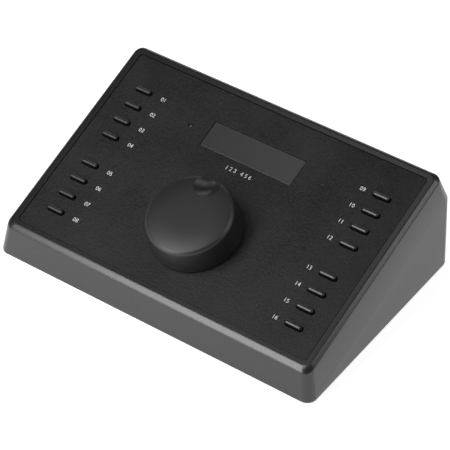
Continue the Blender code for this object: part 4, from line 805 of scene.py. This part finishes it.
# Nickel on the encoder's turned parts: warmer and smoother
nickelPlate = makePlated("nickelPlate", "c9c4b8", roughness=0.26)
# Oil-blackened steel screws: dark metal with a soft sheen
blackenedSteel = makePlated("blackenedSteel", "3c3c40", roughness=0.40)
# Moulded rubber feet: dull
rubber = coat("mouldedRubber", "1c1c1c", "232323", roughness=0.80, grain=0.6, height=0.02)
# Die-cut closed-cell foam: no shine at all
gasketFoam = coat("closedCellFoam", "181818", "202020", roughness=0.95, grain=0.3, height=0.05)
# Injection-moulded, glass-filled nylon: half matt, faintly speckled
moulding = coat("glassFilledNylon", "1e1e1f", "242425", roughness=0.48, grain=0.4, height=0.01)
# Folded steel with a matt powder coat: dull, with a fine speckle
steelCoat = coat("matPowderCoat", "29292b", "313133", roughness=0.58, grain=0.4, height=0.02)
# Printed epoxy solder mask on the boards: green, half glossy
solderMask = coat("solderMask", "0f4a2c", "125534", roughness=0.42, grain=1.5, height=0.005)
# Laminated polyester film of the flat cable: pale and smooth
ribbonFilm = coat("polyesterFilm", "b9b9b2", "c4c4be", roughness=0.42, grain=2.0, height=0.004)
# Polished glass of the display, dark when off: clear reflections
displayCell = coat("displayGlass", "0f0f11", "131315", roughness=0.12, grain=8.0, height=0.001)

nodeFamilies = {"foot_": rubber, "base_screw": blackenedSteel, "jack_nut": zincPlate}
nodeMaterials = {
    "display_gasket": gasketFoam, "display_glass": displayCell, "display_holder": moulding,
    "sensor_lens": smokedAcrylic,
    "control_board": solderMask, "main_board": solderMask, "ribbon_cable": ribbonFilm,
    "encoder_body": nickelPlate, "encoder_washer": nickelPlate, "encoder_nut": nickelPlate,
    "encoder_rotor": moulding, "encoder_shaft": nickelPlate,
    "base_plate": steelCoat, "rear_panel": steelCoat,
    "network_port": zincPlate, "usb_port": zincPlate, "power_inlet": moulding,
}
for name, node in nodes.items():
    material = nodeMaterials.get(name, moulding)
    for start, finish in nodeFamilies.items():
        if name.startswith(start):
            material = finish
    dress(node.data, material)
print("nodes dressed")


# Floor, world and lamps

studio = {
    "floorSize": 6, "floorTone": 0.80, "floorGlow": 0.7,
    "roomLow": 0.40, "roomHigh": 0.10, "roomHeight": 0.5,  # the walls round the object, darker with height
}


def makeFloor():
    bm = bmesh.new()
    bmesh.ops.create_grid(bm, x_segments=1, y_segments=1, size=studio["floorSize"])
    floor = newObject("floor", meshFrom(bm, "floor"))
    material = bpy.data.materials.new("paleFloor")
    material.use_nodes = True
    tree = material.node_tree
    tree.nodes.clear()
    path = addNode(tree, "ShaderNodeLightPath").outputs
    camera, glossy, clear = (path[f"Is {kind} Ray"] for kind in ("Camera", "Glossy", "Transmission"))
    seen = addNode(tree, "ShaderNodeMath", {0: camera, 1: glossy}, operation="MAXIMUM").outputs[0]
    seen = addNode(tree, "ShaderNodeMath", {0: seen, 1: clear}, operation="MAXIMUM").outputs[0]
    glow = addNode(tree, "ShaderNodeMath", {0: seen, 1: studio["floorGlow"]}, operation="MULTIPLY").outputs[0]
    tone = studio["floorTone"]
    paint = addNode(tree, "ShaderNodeBsdfDiffuse", {"Color": (tone, tone, tone, 1)})
    light = addNode(tree, "ShaderNodeEmission", {"Strength": glow})
    both = addNode(tree, "ShaderNodeAddShader", {0: paint.outputs[0], 1: light.outputs[0]})
    addNode(tree, "ShaderNodeOutputMaterial", {0: both.outputs[0]})
    floor.data.materials.append(material)


def makeWorld():
    world = bpy.data.worlds.new("studio")
    scene.world = world
    world.use_nodes = True
    tree = world.node_tree
    tree.nodes.clear()
    path = addNode(tree, "ShaderNodeLightPath").outputs
    camera, clear = path["Is Camera Ray"], path["Is Transmission Ray"]
    seen = addNode(tree, "ShaderNodeMath", {0: camera, 1: clear}, operation="MAXIMUM").outputs[0]
    way = addNode(tree, "ShaderNodeTexCoord").outputs["Generated"]
    height = addNode(tree, "ShaderNodeSeparateXYZ", {0: way}).outputs[2]
    room = addNode(tree, "ShaderNodeMapRange", {
        "Value": height, "From Min": 0.0, "From Max": studio["roomHeight"],
        "To Min": studio["roomLow"], "To Max": studio["roomHigh"],
    })
    strength = addNode(tree, "ShaderNodeMix", {0: seen, 2: room.outputs["Result"], 3: 1.0}).outputs[0]
    background = addNode(tree, "ShaderNodeBackground", {"Color": (1, 1, 1, 1), "Strength": strength})
    addNode(tree, "ShaderNodeOutputWorld", {0: background.outputs[0]})


lamps = {
    "frontSoftbox": {
        "at": (-0.32, -0.666, 0.53), "aim": (-0.32, 0.084, -0.13), "size": (0.42, 1.14), "watts": 10.5,
    },
    "topFill": {"at": (-0.36, 0.12, 1.0), "aim": (-0.1, 0.0, 0.03), "size": (0.25, 0.25), "watts": 0.2},
    "backFill": {"at": (-0.55, 0.95, 0.45), "aim": (0, 0, 0.03), "size": (0.6, 0.3), "watts": 1.4},
    "rightFill": {"at": (0.676, 0.27, 0.736), "aim": (0.1, 0, 0.03), "size": (0.5, 1.3), "watts": 4.2},
}


def makeLamp(name, lamp):
    data = bpy.data.lights.new(name, "AREA")
    data.shape = "RECTANGLE"
    data.size, data.size_y = lamp["size"]
    data.energy = lamp["watts"]
    light = bpy.data.objects.new(name, data)
    scene.collection.objects.link(light)
    light.location = lamp["at"]
    way = Vector(lamp["aim"]) - light.location
    light.rotation_euler = way.to_track_quat("-Z", "Y").to_euler()


makeFloor()
makeWorld()
for name, lamp in lamps.items():
    makeLamp(name, lamp)
scene.view_settings.view_transform = "Standard"
print("studio made")
